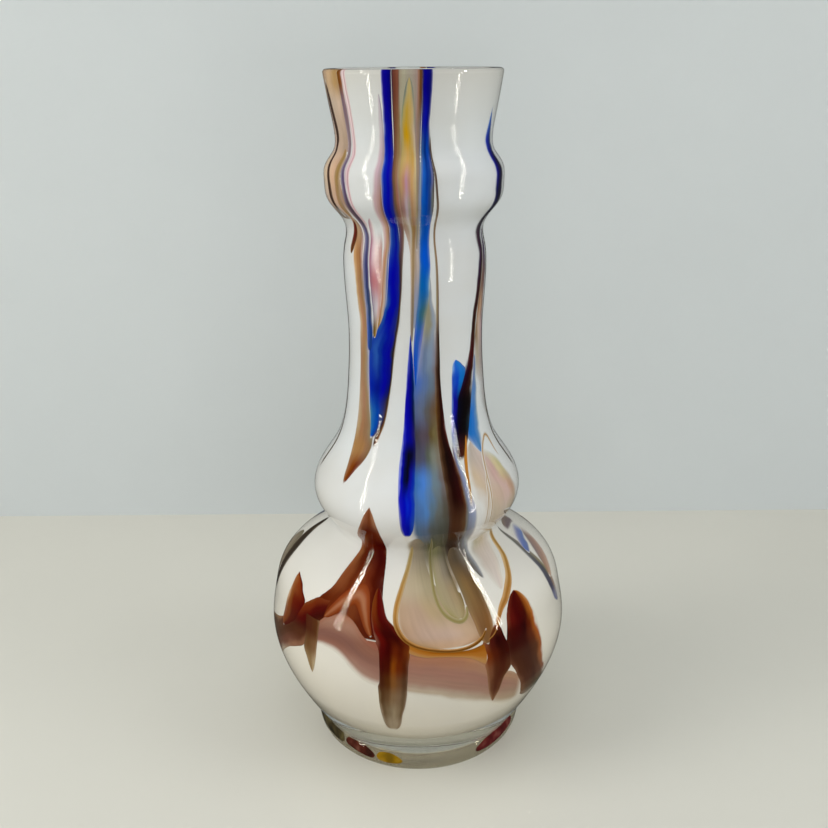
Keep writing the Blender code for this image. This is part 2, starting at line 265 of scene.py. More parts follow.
def thread(name, slot, path, material, layer=1, tips=(6, 6), steps=150, half=None):
    """A streak along a path of (height, azimuth, half width in mm), or with one half.

    The edges lie half a width to each side, square to the path on the glass.
    """
    rows = [(p[0], p[1], p[2] if len(p) > 2 else half) for p in path]
    line = smooth(rows, steps)
    place = line[:, [1, 0]]
    ring = opal_ring(place[:, 1])
    slope = np.gradient(place, axis=0)
    run = np.radians(slope[:, 0]) * ring
    span = np.maximum(np.hypot(run, slope[:, 1]), 1e-9)
    width = line[:, 2] * rounded(steps, length_of(place), *tips)
    side = np.stack([np.degrees(slope[:, 1] / span * width / ring), -run / span * width], -1)
    return lens(name, slot, place + side, place - side, material, layer)


# ---------------------------------------------------------------- materials

LIFT = 1.3            # streak colours are written as they look in the casing's shade
SODA = 1.5            # refractive index of soda glass
BRIGHTEST = 0.95      # no surface sends back more light than this share


def linear(code, lift=1.0):
    """A colour written as sRGB hex, with or without alpha, as linear red to alpha."""
    code = code.lstrip("#")
    parts = np.array([int(code[i:i + 2], 16) / 255 for i in range(0, len(code), 2)])
    rgb = np.where(parts[:3] <= 0.04045, parts[:3] / 12.92,
                   ((parts[:3] + 0.055) / 1.055) ** 2.4) * lift
    alpha = parts[3] if len(parts) > 3 else 1.0
    return (*[min(float(c), BRIGHTEST) for c in rgb], float(alpha))


def node(tree, kind, inputs=(), stops=(), lift=1.0, **settings):
    """Adds a shader node with its settings, input values or links, and ramp stops."""
    new = tree.nodes.new("ShaderNode" + kind)
    for key, value in settings.items():
        setattr(new, key, value)
    for key, value in dict(inputs).items():
        if isinstance(value, bpy.types.NodeSocket):
            tree.links.new(value, new.inputs[key])
        else:
            new.inputs[key].default_value = value
    if stops:
        stops_in = new.color_ramp.elements
        while len(stops_in) < len(stops):
            stops_in.new(1.0)
        for element, (place, code) in zip(stops_in, stops):
            element.position = place
            element.color = linear(code, lift)
    return new


def new_material(name):
    """An empty material and its node tree."""
    material = bpy.data.materials.new(name)
    material.use_nodes = True
    material.node_tree.nodes.clear()
    return material, material.node_tree


def show(tree, shader):
    """Sends a shader to the material's surface."""
    node(tree, "OutputMaterial", {"Surface": shader})


def blend(tree, factor, first, second, kind="MIX"):
    """Colour between two colours by a factor; returns its output."""
    mix = node(tree, "Mix", {0: factor, 6: first, 7: second}, data_type="RGBA",
               blend_type=kind)
    return mix.outputs[2]


# Opal glass is a milky white: cooler up the neck and creamier low on the globe, with faint cloudy
# patches about 40 mm wide. Low on the globe it is also painted lighter: painted light for light
# scattered inside the opal and bounced up from the table.
OPAL_AND_PAINTED_LIGHT_BY_HEIGHT = [
    (0.0, "#DCD2BE"), (0.12, "#E0D8C8"), (0.26, "#DED9CE"), (0.36, "#DCDAD6"),
    (0.5, "#DADCDC"), (0.8, "#DADCDE"), (0.93, "#DADCDC"), (1.0, "#D0CEC8"),
]
CLOUD = 1 / 0.040


def opal_colour(tree, place):
    """Colour of the opal, with its painted light low on the globe, at an Object coordinate, the same
    for every piece.
    """
    height = node(tree, "SeparateXYZ", {0: place})
    share = node(tree, "Math", {0: height.outputs[2], 1: TOP * MM}, operation="DIVIDE")
    base = node(tree, "ValToRGB", {0: share.outputs[0]}, stops=OPAL_AND_PAINTED_LIGHT_BY_HEIGHT)
    cloud = node(tree, "TexNoise", {"Vector": place, "Scale": CLOUD, "Detail": 3.0})
    amount = node(tree, "MapRange", {0: cloud.outputs[0], 1: 0.45, 2: 0.75, 3: 0.0, 4: 0.5})
    return blend(tree, amount.outputs[0], base.outputs[0], linear("#CFCAC0"))


def opal_glass(name, bare):
    """Opal glass; where it is bare it has its own polish, and under glass it has none."""
    material, tree = new_material(name)
    place = node(tree, "TexCoord").outputs["Object"]
    shader = node(tree, "BsdfPrincipled", {
        "Base Color": opal_colour(tree, place),
        "Roughness": 0.12 if bare else 0.6,
        "IOR": SODA,
        "Specular IOR Level": 0.5 if bare else 0.0,
        "Subsurface Weight": 0.0,
    })
    show(tree, shader.outputs[0])
    return material


WAVER = 1 / 0.011     # scale of the waver, about 11 mm long
DRAWN = (14.0, 2.0, 1.0)      # how often the drawn lines change across and along
GRAIN = 0.06          # how much lighter or darker the drawn lines are


def stops_of(text):
    """Ramp stops from words that go: percent, colour, percent, colour."""
    words = text.split()
    return [(float(place) / 100, code) for place, code in zip(words[::2], words[1::2])]


def streak_glass(name, sections, soft=(0.1, 0.1), ends=(0.0, 0.02), wobble=0.10):
    """Coloured glass laid on the opal, seen through the casing.

    sections hold, for each height, top first, the colours across from left to right with
    their places in percent, and the colour blends from one height to the next. A colour
    that ends in 00 is bare opal. soft is the share of the width over which each side
    thins out into the opal, and ends the same along its length. A slow waver of the
    glass moves the colours sideways, and fine drawn lines run along it.
    """
    material, tree = new_material(name)
    place = node(tree, "TexCoord").outputs["Object"]
    chart = node(tree, "UVMap", uv_map="Streak").outputs[0]
    flat = node(tree, "SeparateXYZ", {0: chart})
    waver = node(tree, "TexNoise", {"Vector": place, "Scale": WAVER, "Detail": 2.0})
    moved = node(tree, "MapRange", {
        0: waver.outputs[0], 1: 0.25, 2: 0.75, 3: -wobble, 4: wobble}, clamp=False)
    across = node(tree, "Math", {0: flat.outputs[0], 1: moved.outputs[0]})
    opal = opal_colour(tree, place)
    height = node(tree, "SeparateXYZ", {0: place}).outputs[2]
    colour = None
    before = None
    for at, text in sections.items():
        ramp = node(tree, "ValToRGB", {0: across.outputs[0]}, stops=stops_of(text), lift=LIFT)
        ramp.color_ramp.interpolation = "EASE"
        here = blend(tree, ramp.outputs[1], opal, ramp.outputs[0])
        if colour is None:
            colour = here
        else:
            share = node(tree, "MapRange", {
                0: height, 1: before * MM, 2: at * MM}, interpolation_type="SMOOTHSTEP")
            colour = blend(tree, share.outputs[0], colour, here)
        before = at
    lines = node(tree, "Mapping", {0: chart, "Scale": DRAWN})
    drawn = node(tree, "TexNoise", {"Vector": lines.outputs[0], "Scale": 1.0, "Detail": 3.0})
    tone = node(tree, "MapRange", {
        0: drawn.outputs[0], 1: 0.3, 2: 0.7, 3: 1 - GRAIN, 4: 1 + GRAIN})
    toned = node(tree, "VectorMath", {0: colour, "Scale": tone.outputs[0]}, operation="SCALE")
    mask = None
    for axis, reach, start, stop in (
            (0, soft[0], 0.0, soft[0]), (0, soft[1], 1.0, 1.0 - soft[1]),
            (1, ends[0], 0.0, ends[0]), (1, ends[1], 1.0, 1.0 - ends[1])):
        if reach <= 0:
            continue
        edge = node(tree, "MapRange", {0: flat.outputs[axis], 1: start, 2: stop})
        fade = node(tree, "MapRange", {
            0: edge.outputs[0], 1: 0.0, 2: 1.0}, interpolation_type="SMOOTHSTEP").outputs[0]
        mask = fade if mask is None else node(
            tree, "Math", {0: mask, 1: fade}, operation="MULTIPLY").outputs[0]
    colour = toned.outputs[0]
    if mask is not None:
        colour = blend(tree, mask, opal, colour)
    shader = node(tree, "BsdfPrincipled", {
        "Base Color": colour, "Roughness": 0.6, "IOR": SODA, "Specular IOR Level": 0.0})
    show(tree, shader.outputs[0])
    return material


CUP_WAVES = 0.240, 0.262      # heights in m over which the cup's waves grow
FOOT_SEAM = 0.0088, 0.0098    # heights in m over which the foot's warm tint ends
WAVE = 1 / 0.005
WAVE_HEIGHT = 0.00004


def clear_glass(name):
    """Clear soda glass: smooth, warmer in the foot, the cup's face slightly wavy.

    The waves are where the cup was jacked open, about 5 mm long and under 0.04 mm high.
    """
    material, tree = new_material(name)
    place = node(tree, "TexCoord").outputs["Object"]
    waves = node(tree, "TexNoise", {"Vector": place, "Scale": WAVE, "Detail": 1.0})
    height = node(tree, "SeparateXYZ", {0: place}).outputs[2]
    share = node(tree, "MapRange", {
        0: height, 1: CUP_WAVES[0], 2: CUP_WAVES[1], 3: 0.0, 4: 1.0})
    up = node(tree, "MapRange", {0: height, 1: FOOT_SEAM[0], 2: FOOT_SEAM[1], 3: 0.0, 4: 1.0})
    tint = blend(tree, up.outputs[0], linear("#E9E2CC"), linear("#F6F7F5"))
    bump = node(tree, "Bump", {
        "Strength": share.outputs[0], "Distance": WAVE_HEIGHT, "Height": waves.outputs[0]})
    shader = node(tree, "BsdfPrincipled", {
        "Base Color": tint, "Roughness": 0.0, "IOR": SODA,
        "Transmission Weight": 1.0, "Normal": bump.outputs[0]})
    show(tree, shader.outputs[0])
    return material


def plain(name, code, roughness, mottle=0.0, one_sided=False):
    """A matt surface for the stage, with a faint mottle about 60 mm wide.

    A one-sided sheet is not there when seen from behind.
    """
    material, tree = new_material(name)
    place = node(tree, "TexCoord").outputs["Object"]
    cloud = node(tree, "TexNoise", {"Vector": place, "Scale": 1 / 0.06, "Detail": 4.0})
    tone = node(tree, "MapRange", {0: cloud.outputs[0], 3: 1 - mottle, 4: 1 + mottle})
    colour = node(tree, "VectorMath", {
        0: linear(code)[:3], "Scale": tone.outputs[0]}, operation="SCALE")
    shader = node(tree, "BsdfPrincipled", {
        "Base Color": colour.outputs[0], "Roughness": roughness})
    surface = shader.outputs[0]
    if one_sided:
        surface = node(tree, "MixShader", {
            0: node(tree, "NewGeometry").outputs["Backfacing"], 1: surface,
            2: node(tree, "BsdfTransparent").outputs[0]}).outputs[0]
    show(tree, surface)
    return material


# ---------------------------------------------------------------- glass body

def arc(centre, radius, start, end, count):
    """Points (x, y) on a circle between two angles in degrees, anticlockwise from +x."""
    turn = np.radians(np.linspace(start, end, count))
    return np.stack([centre[0] + radius * np.cos(turn), centre[1] + radius * np.sin(turn)], -1)


def clear_profile():
    """Outer face from the pontil hollow up to the lip, then the buried face back down."""
    hollow = [(0, 1.2), (6, 1.2), (10.5, 1.15), (12.5, 0.7), (14.0, 0.0), (14.6, 0.0)]
    side = FOOT_RADIUS
    foot = [(30, 0.0), (47.6, 0.0), *arc((side - 1.9, 1.5), 1.5, -90, 0, 7)[1:].tolist()]
    foot = [(r, z) for r, z in foot if z <= 1.5 and r <= side - 0.4 + 1e-6]
    foot += [(side - 0.13, 3.0), (side, 4.6), (side - 0.1, 6.4), (side - 0.35, 7.6)]
    foot += [(side - 0.8, 8.4), (side - 1.25, 8.75), (side - 1.3, 9.05), (side - 1.0, 9.4)]
    heights = np.append(np.arange(10.2, TOP - 2, 1.15), TOP - 1.6)
    outer = np.stack([wall_radius(heights, 0), heights], -1)
    round_out, round_in = 1.3, 0.7
    out_edge = float(wall_radius(TOP - round_out, 0))
    in_edge = float(wall_radius(TOP - round_in, BORE))
    over = np.vstack([
        arc((out_edge - round_out, TOP - round_out), round_out, 0, 90, 9),
        arc((in_edge + round_in, TOP - round_in), round_in, 90, 180, 7),
        [(float(wall_radius(RIM - RIM_CHAMFER, BORE)), RIM - RIM_CHAMFER)],
    ])
    down = np.arange(RIM - 1.4, 34, -3.0)
    buried = np.stack([wall_radius(down, BURIED), down], -1)
    floor = [(56.5, 33.2), (50.5, 29.6), (42.0, 25.6), (32, 22.6), (20, 21.4), (0, 21.2)]
    return np.vstack([hollow, foot, outer, over, buried, floor])


def opal_profile():
    """The bubble: rounded bottom, outer face, rim under the lip, bore and its floor."""
    bottom = [(0, 20.2), (12, 20.3), (22, 20.6), (31, 21.5), (38, 22.9), (44.5, 25.1),
              (50.0, 27.7), (54.5, 30.6), (57.4, 33.4)]
    up = np.arange(36.0, RIM - 0.3, 1.5)
    outer = np.stack([wall_radius(up, OPAL_FACE), up], -1)
    rim = [(float(wall_radius(RIM, OPAL_FACE)), RIM),
           (float(wall_radius(RIM, BORE)) + RIM_CHAMFER, RIM),
           (float(wall_radius(RIM - RIM_CHAMFER, BORE)), RIM - RIM_CHAMFER)]
    down = np.arange(RIM - 2.0, 38.0, -3.0)
    bore = np.stack([wall_radius(down, BORE), down], -1)
    floor = [(54.0, 34.5), (47.5, 29.8), (38, 25.6), (28, 23.4), (14, 22.3), (0, 22.1)]
    return np.vstack([bottom, outer, rim, bore, floor]), len(bottom) + len(outer)


# Soft light reaches the colours through the casing as if it were not there.
casing = turned("clear_casing", clear_profile(), clear_glass("clear soda glass"),
                ["foot_core", "foot_wrap"])
casing.visible_shadow = False
casing.visible_diffuse = False

opal_points, outer_rows = opal_profile()
liner = turned("opal_liner", opal_points, opal_glass("cased opal glass", False))
liner.data.materials.append(opal_glass("bare opal glass", True))
bare = np.zeros(len(liner.data.polygons), np.int32)       # 1 on the rim and in the bore
bare[outer_rows * SEGMENTS:(len(opal_points) - 1) * SEGMENTS] = 1
bare[-SEGMENTS:] = 1
liner.data.polygons.foreach_set("material_index", bare)


# ---------------------------------------------------------------- streaks, front

cobalt_left = streak_glass("cobalt streak, drawn to a wide tongue", {
    290: "0 #9C9CB400 14 #6A68A8 26 #120A77 50 #04007C 85 #02006A 95 #241C50 100 #5A4450",
    266: "0 #8C8490 12 #4058A0 25 #061F92 60 #020190 90 #1A1F80 100 #505078",
    250: "0 #7A6468 12 #3A3C80 25 #001490 60 #00018A 85 #14207A 100 #3A3050",
    240: "0 #998E9C 15 #305090 35 #122D84 65 #021082 90 #20337A 100 #503C50",
    225: "0 #334C88 20 #04108C 50 #00008A 80 #0A1086 93 #20255E 100 #2A2028",
    208: "0 #5A7098 15 #174085 35 #02088A 60 #00028C 85 #131C72 95 #302F38 100 #2A2420",
    192: "0 #2A5098 12 #10308A 36 #1F4890 52 #07297E 70 #000A7E 88 #030282 97 #1B1D42 100 #26221E",
    177: "0 #16309A 20 #001A86 45 #001074 70 #010182 90 #060B5A 100 #201C20",
    163: "0 #3A7080 25 #165092 50 #023A91 80 #26305C 100 #403030",
}, soft=(0.1, 0))

band("cobalt_stripe_left", "cobalt_glass", [
    (RIM, -21, -13.8), (290, -21.8, -14.4), (280, -22.6, -15.0), (270, -22.2, -14.6),
    (260, -21.4, -13.4), (250, -21, -13), (240, -21.8, -13), (225, -23, -11.8), (215, -25.4, -12.2),
    (210, -28.4, -13), (205, -33, -14.6), (200, -40, -16.6), (196, -45, -18.1), (191, -47, -19.5),
    (186, -47.2, -20.6), (180, -46.6, -21.8), (175, -45.6, -23.4), (170, -44.8, -25), (163, -42.6, -28),
    (158, -41.2, -33), (154.5, -40.2, -38),
], cobalt_left, 2, (0, 3), 220)

band("umber_thread_left", "umber_glass", [
    (RIM, -13.8, -8.4), (285, -14.4, -9.2), (270, -14.8, -10), (260, -13.8, -9.8), (250, -13.4, -8.4),
    (245, -13.2, -8.4), (235, -13.1, -9.2), (228, -12.6, -10), (220, -12.4, -10.8), (213, -14, -12.2),
    (206, -15.5, -13.8), (199, -18.5, -16.6), (191, -20.8, -19.2), (181, -23, -21.4), (170, -26, -24.4),
    (162, -29.6, -27.2), (156, -35, -31), (151, -37, -34),
], streak_glass("umber streak", {
    294: "0 #2A1C30 30 #5E3326 70 #6E4030 100 #807060",
    272: "0 #503030 30 #6A4834 70 #7E6444 100 #908050",
    256: "0 #3A3050 35 #604731 70 #855946 100 #907070",
    242: "0 #4B4B70 40 #5B4048 70 #674842 100 #988879",
    228: "0 #2A2030 50 #3C2C2A 100 #807068",
    180: "0 #141018 50 #241A1A 100 #807060",
    158: "0 #2A1C18 50 #4A2E1A 100 #806040",
}, soft=(0, 0)), 3, (0, 8), 200)

band("smoke_veil_cup", "cream_glass", [
    (RIM, -13.5, 6.4), (280, -15, 6), (262, -13.6, 5.2), (250, -13, 4.8), (243, -9, 5), (232, -4, 4.6),
    (220, -3.6, 4), (210, -3.6, 2.6), (203, -3, 1),
], streak_glass("smoky taupe veil", {
    292: "0 #7A5A48 35 #96907C 60 #90887A 85 #917D76 100 #806860",
    268: "0 #806448 50 #A89870 80 #827868 100 #8090A0",
    250: "0 #806050 50 #8C806A 85 #878070 100 #7C859B",
    232: "0 #B4A297 50 #988574 80 #A29590 100 #7A849A",
    210: "0 #A29994 50 #7F859B 100 #4D688F",
}, soft=(0, 0)), 0, (0, 6), 160)

band("honey_feather", "honey_glass", [
    (297.6, -3.2, -1.8), (294, -5.6, 0), (290, -7.2, 0.8), (285, -8.8, 1.4), (278, -9.6, 1.8),
    (268, -10, 2.4), (258, -9.8, 2.6), (250, -8.8, 2.4), (244, -5.6, 1.6), (238, -4.4, 1),
    (230, -3.9, 0.2), (222, -3.7, -0.3), (212, -4.1, -0.7), (204, -4.5, -1.6), (197, -4, -2.6),
], streak_glass("honey glass feather with a pink heart", {
    294: "0 #5E645E 16 #6E756A 30 #A0906A 50 #A8945E 70 #A09068 86 #74786E 100 #606660",
    285: "0 #6A7068 10 #7E8264 22 #A08C50 42 #A88830 60 #AC8E4A 80 #AE9668 92 #8A8878 100 #6A7068",
    278: "0 #7A7858 12 #98875C 26 #A8841E 42 #B4870A 56 #A8862C 70 #AB925A 88 #AE9A87 100 #7A7468",
    269: "0 #7A6A48 12 #A18B56 30 #AA8E5A 42 #B08A50 56 #A88A50 72 #AA8646 88 #AD9E79 100 #80786A",
    261: "0 #7E6448 14 #9E7F58 28 #A0745E 42 #A0788A 56 #A07868 70 #AE8858 86 #AB9670 100 #857A6A",
    252: "0 #7A5A50 18 #86645E 34 #9A8A92 50 #8A8074 66 #9A7452 82 #9E8468 100 #807868",
    244: "0 #988879 30 #A7A096 50 #8A7048 70 #80603C 100 #887561",
    230: "0 #B4A297 40 #9A8464 60 #806648 80 #907C60 100 #988574",
    206: "0 #A29994 50 #706050 100 #767166",
}, soft=(0, 0), wobble=0.05), 2, (3, 6), 220)

band("umber_thread_right", "umber_glass", [
    (RIM, 2.2, 6.2), (290, 1.8, 5.8), (280, 1.2, 5.2), (270, 1.2, 4.2), (258, 1.2, 3.2),
    (246, 1.2, 2.8), (234, 1.0, 2.6),
], streak_glass("umber streak, fading down", {
    293: "0 #917D76 35 #8A6450 60 #5E3A1A 85 #5A3A30 100 #332B5B",
    278: "0 #917D76 40 #836D61 70 #7A6A60 100 #5A587A",
    250: "0 #878060 50 #81715C 100 #777985",
}, soft=(0, 0)), 3, (0, 8))

band("cobalt_stripe_right", "azure_glass", [
    (RIM, 6, 12.6), (288, 5.6, 12.4), (280, 5.4, 12), (270, 4.8, 12.4), (262, 4.2, 12.8),
    (250, 4, 12.6), (240, 4.2, 13), (230, 3.8, 13), (220, 3, 12.6), (214, 1.8, 11.8), (208, 0.2, 9.6),
    (202, -0.9, 7.4), (196, -1.8, 5.6), (190, -2, 3.8), (184, -1.4, 2), (179, -0.5, 0.9),
], streak_glass("azure streak with dark patches", {
    294: "0 #30285A 20 #040078 60 #04026A 80 #141458 92 #6A6A94 100 #959A9C00",
    283: "0 #46486E 15 #14167A 45 #040A92 70 #02066C 85 #4A4C84 100 #9E9E9F00",
    272: "0 #5A6884 20 #1E4680 45 #02256C 70 #043A9C 88 #1A3870 100 #3A3038",
    263: "0 #5A7094 20 #1450A4 45 #063080 66 #1A3A78 80 #5A5C80 92 #40383C 100 #5A5258",
    254: "0 #4A6A98 22 #0A4CA0 48 #013892 70 #203A70 88 #5A5C58 100 #524743",
    244: "0 #4A6E9C 22 #144C98 48 #023E98 72 #0C46A0 90 #40609A 100 #655A5A",
    231: "0 #50749C 20 #0C4CA6 45 #0048B8 70 #0648AC 90 #5070AA 100 #9F9DA700",
    221: "0 #436F8B 25 #055496 50 #04529E 75 #2866A4 92 #7090A8 100 #9C9B9000",
    210: "0 #4D688F 20 #305F8A 42 #28566C 62 #3A5C62 82 #6A7468 100 #7E8474",
    199: "0 #4A60AC 25 #1F4CA0 50 #2A50A2 80 #5C66A0 100 #7A7F9A",
    188: "0 #0438A8 50 #164AA8 100 #6A80B0",
}, soft=(0, 0), ends=(0, 0)), 3, (0, 5), 220)

streak_low = streak_glass("oxblood streak, nearly black where it is thick", {
    262: "0 #70685E 50 #4E3C34 100 #6A5A4A",
    235: "0 #8A8068 50 #7A5E48 100 #9A886E",
    212: "0 #A69D8D 40 #7E6B4F 70 #66584A 100 #807070",
    198: "0 #80767A 50 #4A3A30 75 #241410 100 #40302C",
    183: "0 #6A5A50 40 #3A2218 70 #1E0E06 90 #2A1810 100 #8A7C78",
    168: "0 #604523 35 #40240E 65 #1E0502 90 #301410 100 #80787B",
    157: "0 #644A34 25 #3A2010 50 #1E0804 75 #240A08 90 #502820 100 #9A8884",
    147: "0 #5A4230 25 #2F1B0D 50 #120402 80 #1A0404 92 #402018 100 #806858",
    134: "0 #504030 22 #301A10 45 #1A0200 75 #240504 90 #442010 100 #706050",
    122: "0 #3E3028 30 #3E2313 60 #402616 85 #4C3623 100 #6A6860",
    112: "0 #312D28 30 #281A14 60 #30190C 85 #41342D 100 #606060",
    102: "0 #52483C 30 #3A2E26 60 #34261C 85 #50443A 100 #6A6660",
    92: "0 #807050 35 #5A4220 70 #624A28 100 #908068",
}, soft=(0, 0))

band("oxblood_streak", "oxblood_glass", [
    (277, 11.6, 12.2), (268, 12.3, 13.5), (262, 13, 14.5), (255, 14, 15.6), (246, 15.4, 17.2),
    (235, 16.5, 18.4), (225, 17.2, 19.4), (215, 17.5, 20.2), (205, 17.6, 20.8), (198, 17.5, 21.4),
    (190, 17.0, 21.9), (180, 16.6, 22.2), (172, 16.6, 23.2), (165, 16.8, 24.4), (160, 17, 25.2),
    (153, 17, 26.8), (147, 17.2, 28.8), (140, 17.2, 29.8), (134, 17, 29.6), (128, 16.8, 29),
    (122, 16.5, 28.6), (117, 16.8, 28.2), (111, 18, 29), (105, 19.4, 31), (99, 21, 31.8),
    (93, 22, 31.6), (88, 22.5, 30.5), (83, 23, 29.5),
], streak_low, 3, (4, 6), 260)

band("cobalt_tongue_centre", "cobalt_glass", [
    (201, -4.8, -3.8), (195, -5.9, -3.2), (190, -7, -2.2), (183, -8.2, -1.6), (175, -9.2, -1),
    (170, -9.8, -0.6), (160, -10.9, -0.2), (150, -12.4, 0), (145, -12.8, -0.2), (138, -12, -0.4),
    (130, -10.5, -0.6), (124, -9.4, -1.4), (118.5, -8.4, -3),
], streak_glass("cobalt tongue with an inky core", {
    192: "0 #A7AFC2 25 #4048A8 60 #000E70 100 #103A90",
    180: "0 #8C93C8 20 #10088A 60 #000468 85 #01184C 100 #2A4C90",
    168: "0 #8C93C8 18 #0C0890 40 #04028A 65 #010072 88 #061036 100 #30405A",
    158: "0 #8088C0 14 #2024A0 35 #000288 60 #030478 82 #140E5B 100 #30304A",
    150: "0 #7078C0 14 #060880 30 #030440 45 #050510 65 #030322 84 #131240 100 #35384C",
    141: "0 #7078C0 14 #00028E 32 #000630 50 #020216 68 #0A0A7D 85 #042088 100 #2A548E",
    132: "0 #7A80B0 16 #10109C 40 #00029A 55 #021CA8 70 #02109C 90 #0C2A90 100 #34508A",
    121: "0 #7A7898 25 #101090 60 #000487 100 #20408A",
}, soft=(0.05, 0)), 4, (8, 5), 200)

band("slate_veil", "slate_glass", [
    (225, 9, 14), (215, 5, 15), (208, 2, 18.4), (200, 0, 19.4), (190, -2, 19.4), (182, -3, 19),
    (172, -5, 19), (160, -5, 20), (150, -5, 20), (140, -5, 20), (130, -5, 20), (120, -5, 21),
    (112, -4, 24), (105, -2, 26), (98, 2, 27), (92, 6, 28),
], streak_glass("slate veil over the opal", {
    206: "0 #6A788A00 30 #8A8878 55 #807C66 80 #848C98 100 #786B6700",
    192: "0 #7B8AB700 25 #7A80A0 45 #5D6C87 70 #728298 100 #75696F",
    180: "0 #34578D 20 #4460A0 45 #50648C 70 #5A6878 100 #63483C",
    169: "0 #46526B 25 #4B577B 45 #535D76 62 #514F4F 80 #5A493B 100 #604523",
    158: "0 #30344A 20 #3A3640 40 #4A404A 55 #4C4045 70 #534528 85 #635838 100 #604430",
    149: "0 #2A3050 20 #414050 40 #434355 55 #4C5248 72 #6A6C62 88 #6C6458 100 #604A3A",
    140: "0 #0A2C8D 20 #315D96 38 #3E6BB0 52 #4A6C98 68 #5A6A74 85 #5E5656 100 #504030",
    130: "0 #1A3A90 22 #3E5C8A 38 #42689A 52 #4D6070 68 #515451 85 #474239 100 #3A2C24",
    121: "0 #50607800 20 #485B73 38 #4B586E 55 #4A4C49 75 #41413A 100 #3E3428",
    113: "0 #6A605400 20 #5C5A50 38 #4F4D41 52 #404224 66 #444432 85 #3A362C 100 #302820",
    105: "0 #7A715D00 25 #736B5C 45 #686448 62 #605C44 82 #524B3D 100 #40342C",
    96: "0 #9A8A6000 40 #8A7E68 70 #80705A 100 #60503000",
}, soft=(0, 0.05)), 1, (5, 10), 240)

band("violet_branch_left", "violet_glass", [
    (RIM, -57.5, -52), (290, -57, -51.2), (280, -57.6, -51), (272, -57.2, -51.4), (266, -55.8, -50.6),
    (258, -53.4, -48), (250, -51, -44.6), (243, -49, -42), (236, -48.4, -40.8), (228, -48, -40),
    (220, -47.4, -39.6), (210, -47, -39.2), (203, -47.4, -39.8), (197, -47.6, -40.8), (192, -47.4, -42),
], streak_glass("violet branch", {
    296: "0 #70480E 40 #633716 75 #7A4A28 100 #A07F7100",
    289: "0 #7A6470 30 #66545C 65 #7A6068 100 #A9888400",
    272: "0 #9D8D8F 30 #78686E 60 #685860 100 #A5908E00",
    261: "0 #9C8770 25 #7A7280 55 #4A3C60 80 #5D4E65 100 #A08C8F00",
    249: "0 #807272 25 #5E4A54 60 #443642 85 #5B4B4F 100 #71656400",
    239: "0 #998977 25 #7D7590 50 #454A6A 70 #50445C 100 #9A7A8500",
    226: "0 #8B828E 25 #5A5A78 50 #2C305A 72 #3A3258 100 #7A6F8000",
    210: "0 #8F8B95 25 #5A6488 50 #203252 75 #38405A 100 #6A606800",
    199: "0 #6A74A0 30 #2A4688 60 #123070 100 #123070",
}, soft=(0, 0.04), ends=(0, 0)), 3, (0, 4), 200)

band("pink_line_left", "pink_glass", [
    (RIM, -53, -48), (290, -52.4, -47.6), (280, -52, -47.4), (272, -51.6, -46.8), (266, -50.6, -45.8),
    (260, -49, -44.8), (253, -46.4, -43.2), (247, -44, -41.4), (242, -42, -40.4),
], streak_glass("pink line with a pale haze beside it", {
    290: "0 #A9888400 15 #BCA09E 45 #CDBCBE 68 #AC8A8A 85 #C8B4B4 100 #D0C4C000",
    258: "0 #A08C8F 30 #C0A8AC 62 #A68084 80 #C0A8AA 100 #D0C4C000",
}, soft=(0, 0.1), ends=(0, 0.1)), 2, (0, 4), 120)

band("cream_band_left", "cream_glass", [
    (RIM, -97, -56), (290, -97, -55), (280, -97, -55.5), (272, -97, -55), (264, -97, -54),
    (256, -95, -51), (250, -92, -48), (246, -88, -47),
], streak_glass("cream and rose haze", {
    296: "0 #937D6D 30 #AB9079 60 #B79A7A 85 #9E7E52 100 #977956",
    288: "0 #87767300 30 #8B7871 60 #B29E8C 85 #B39C89 100 #9D8776",
    272: "0 #BAA19200 40 #BAA192 65 #AC9582 85 #96816E 100 #937E7A",
    262: "0 #D2C2AF00 40 #CCB79E 65 #C1A288 85 #B8957A 100 #927960",
    253: "0 #C9B5A500 40 #BDA797 70 #B49782 100 #876C59",
    247: "0 #9E998D00 50 #7C6C5F 100 #725F4F00",
}, soft=(0.2, 0.05)), 0, (0, 4), 160)

band("olive_band_left", "olive_glass", [
    (271, -64, -57), (266, -62.4, -55.2), (261, -61.8, -54.6), (256, -61.4, -54.4), (251, -60.4, -53),
    (247, -59, -51),
], streak_glass("olive band", {
    262: "0 #B59782 25 #907450 60 #84693C 100 #9C8770",
    252: "0 #B89E90 30 #93704E 60 #8A7050 100 #877060",
}, soft=(0, 0)), 1, (6, 5))

# Painted shade: a dark line down each side of the neck, 86 degrees left and right of the front, where
# the neck's edges look dark from the front.
painted_edge_shade = streak_glass("painted shade line down the neck's edges", {
    215: "0 #6A625C 50 #2E2622 100 #6A625C",
    140: "0 #6A5E50 50 #2C2018 100 #6A5E50",
}, soft=(0, 0), ends=(0.05, 0.05))

thread("umber_edge_left", "umber_glass", [
    (243, -85), (230, -86), (215, -86), (200, -86), (185, -86), (170, -86), (155, -86), (142, -86),
    (130, -86),
], painted_edge_shade, 3, (6, 6), 160, 0.9)

thread("umber_edge_right", "umber_glass", [
    (243, 85), (230, 86), (215, 86), (200, 86), (185, 86), (170, 86), (155, 86), (142, 86), (130, 86),
], painted_edge_shade, 3, (6, 6), 160, 0.9)

thread("umber_line_left", "umber_glass", [
    (297, -80, 1.2), (290, -77.6, 1.8), (283, -76, 2.0), (276, -74.6, 1.8), (271, -77, 1.3),
    (266, -75.5, 1.2), (262, -71.6, 1.4), (257, -69.6, 1.7), (252, -67.4, 1.6), (247, -64, 1.2),
], streak_glass("dark umber hairline", {
    284: "0 #5A4438 50 #30201A 100 #5A4438",
    262: "0 #5A4438 50 #2E1C14 100 #5A4438",
}, soft=(0, 0), ends=(0.05, 0.1)), 3, (6, 6))

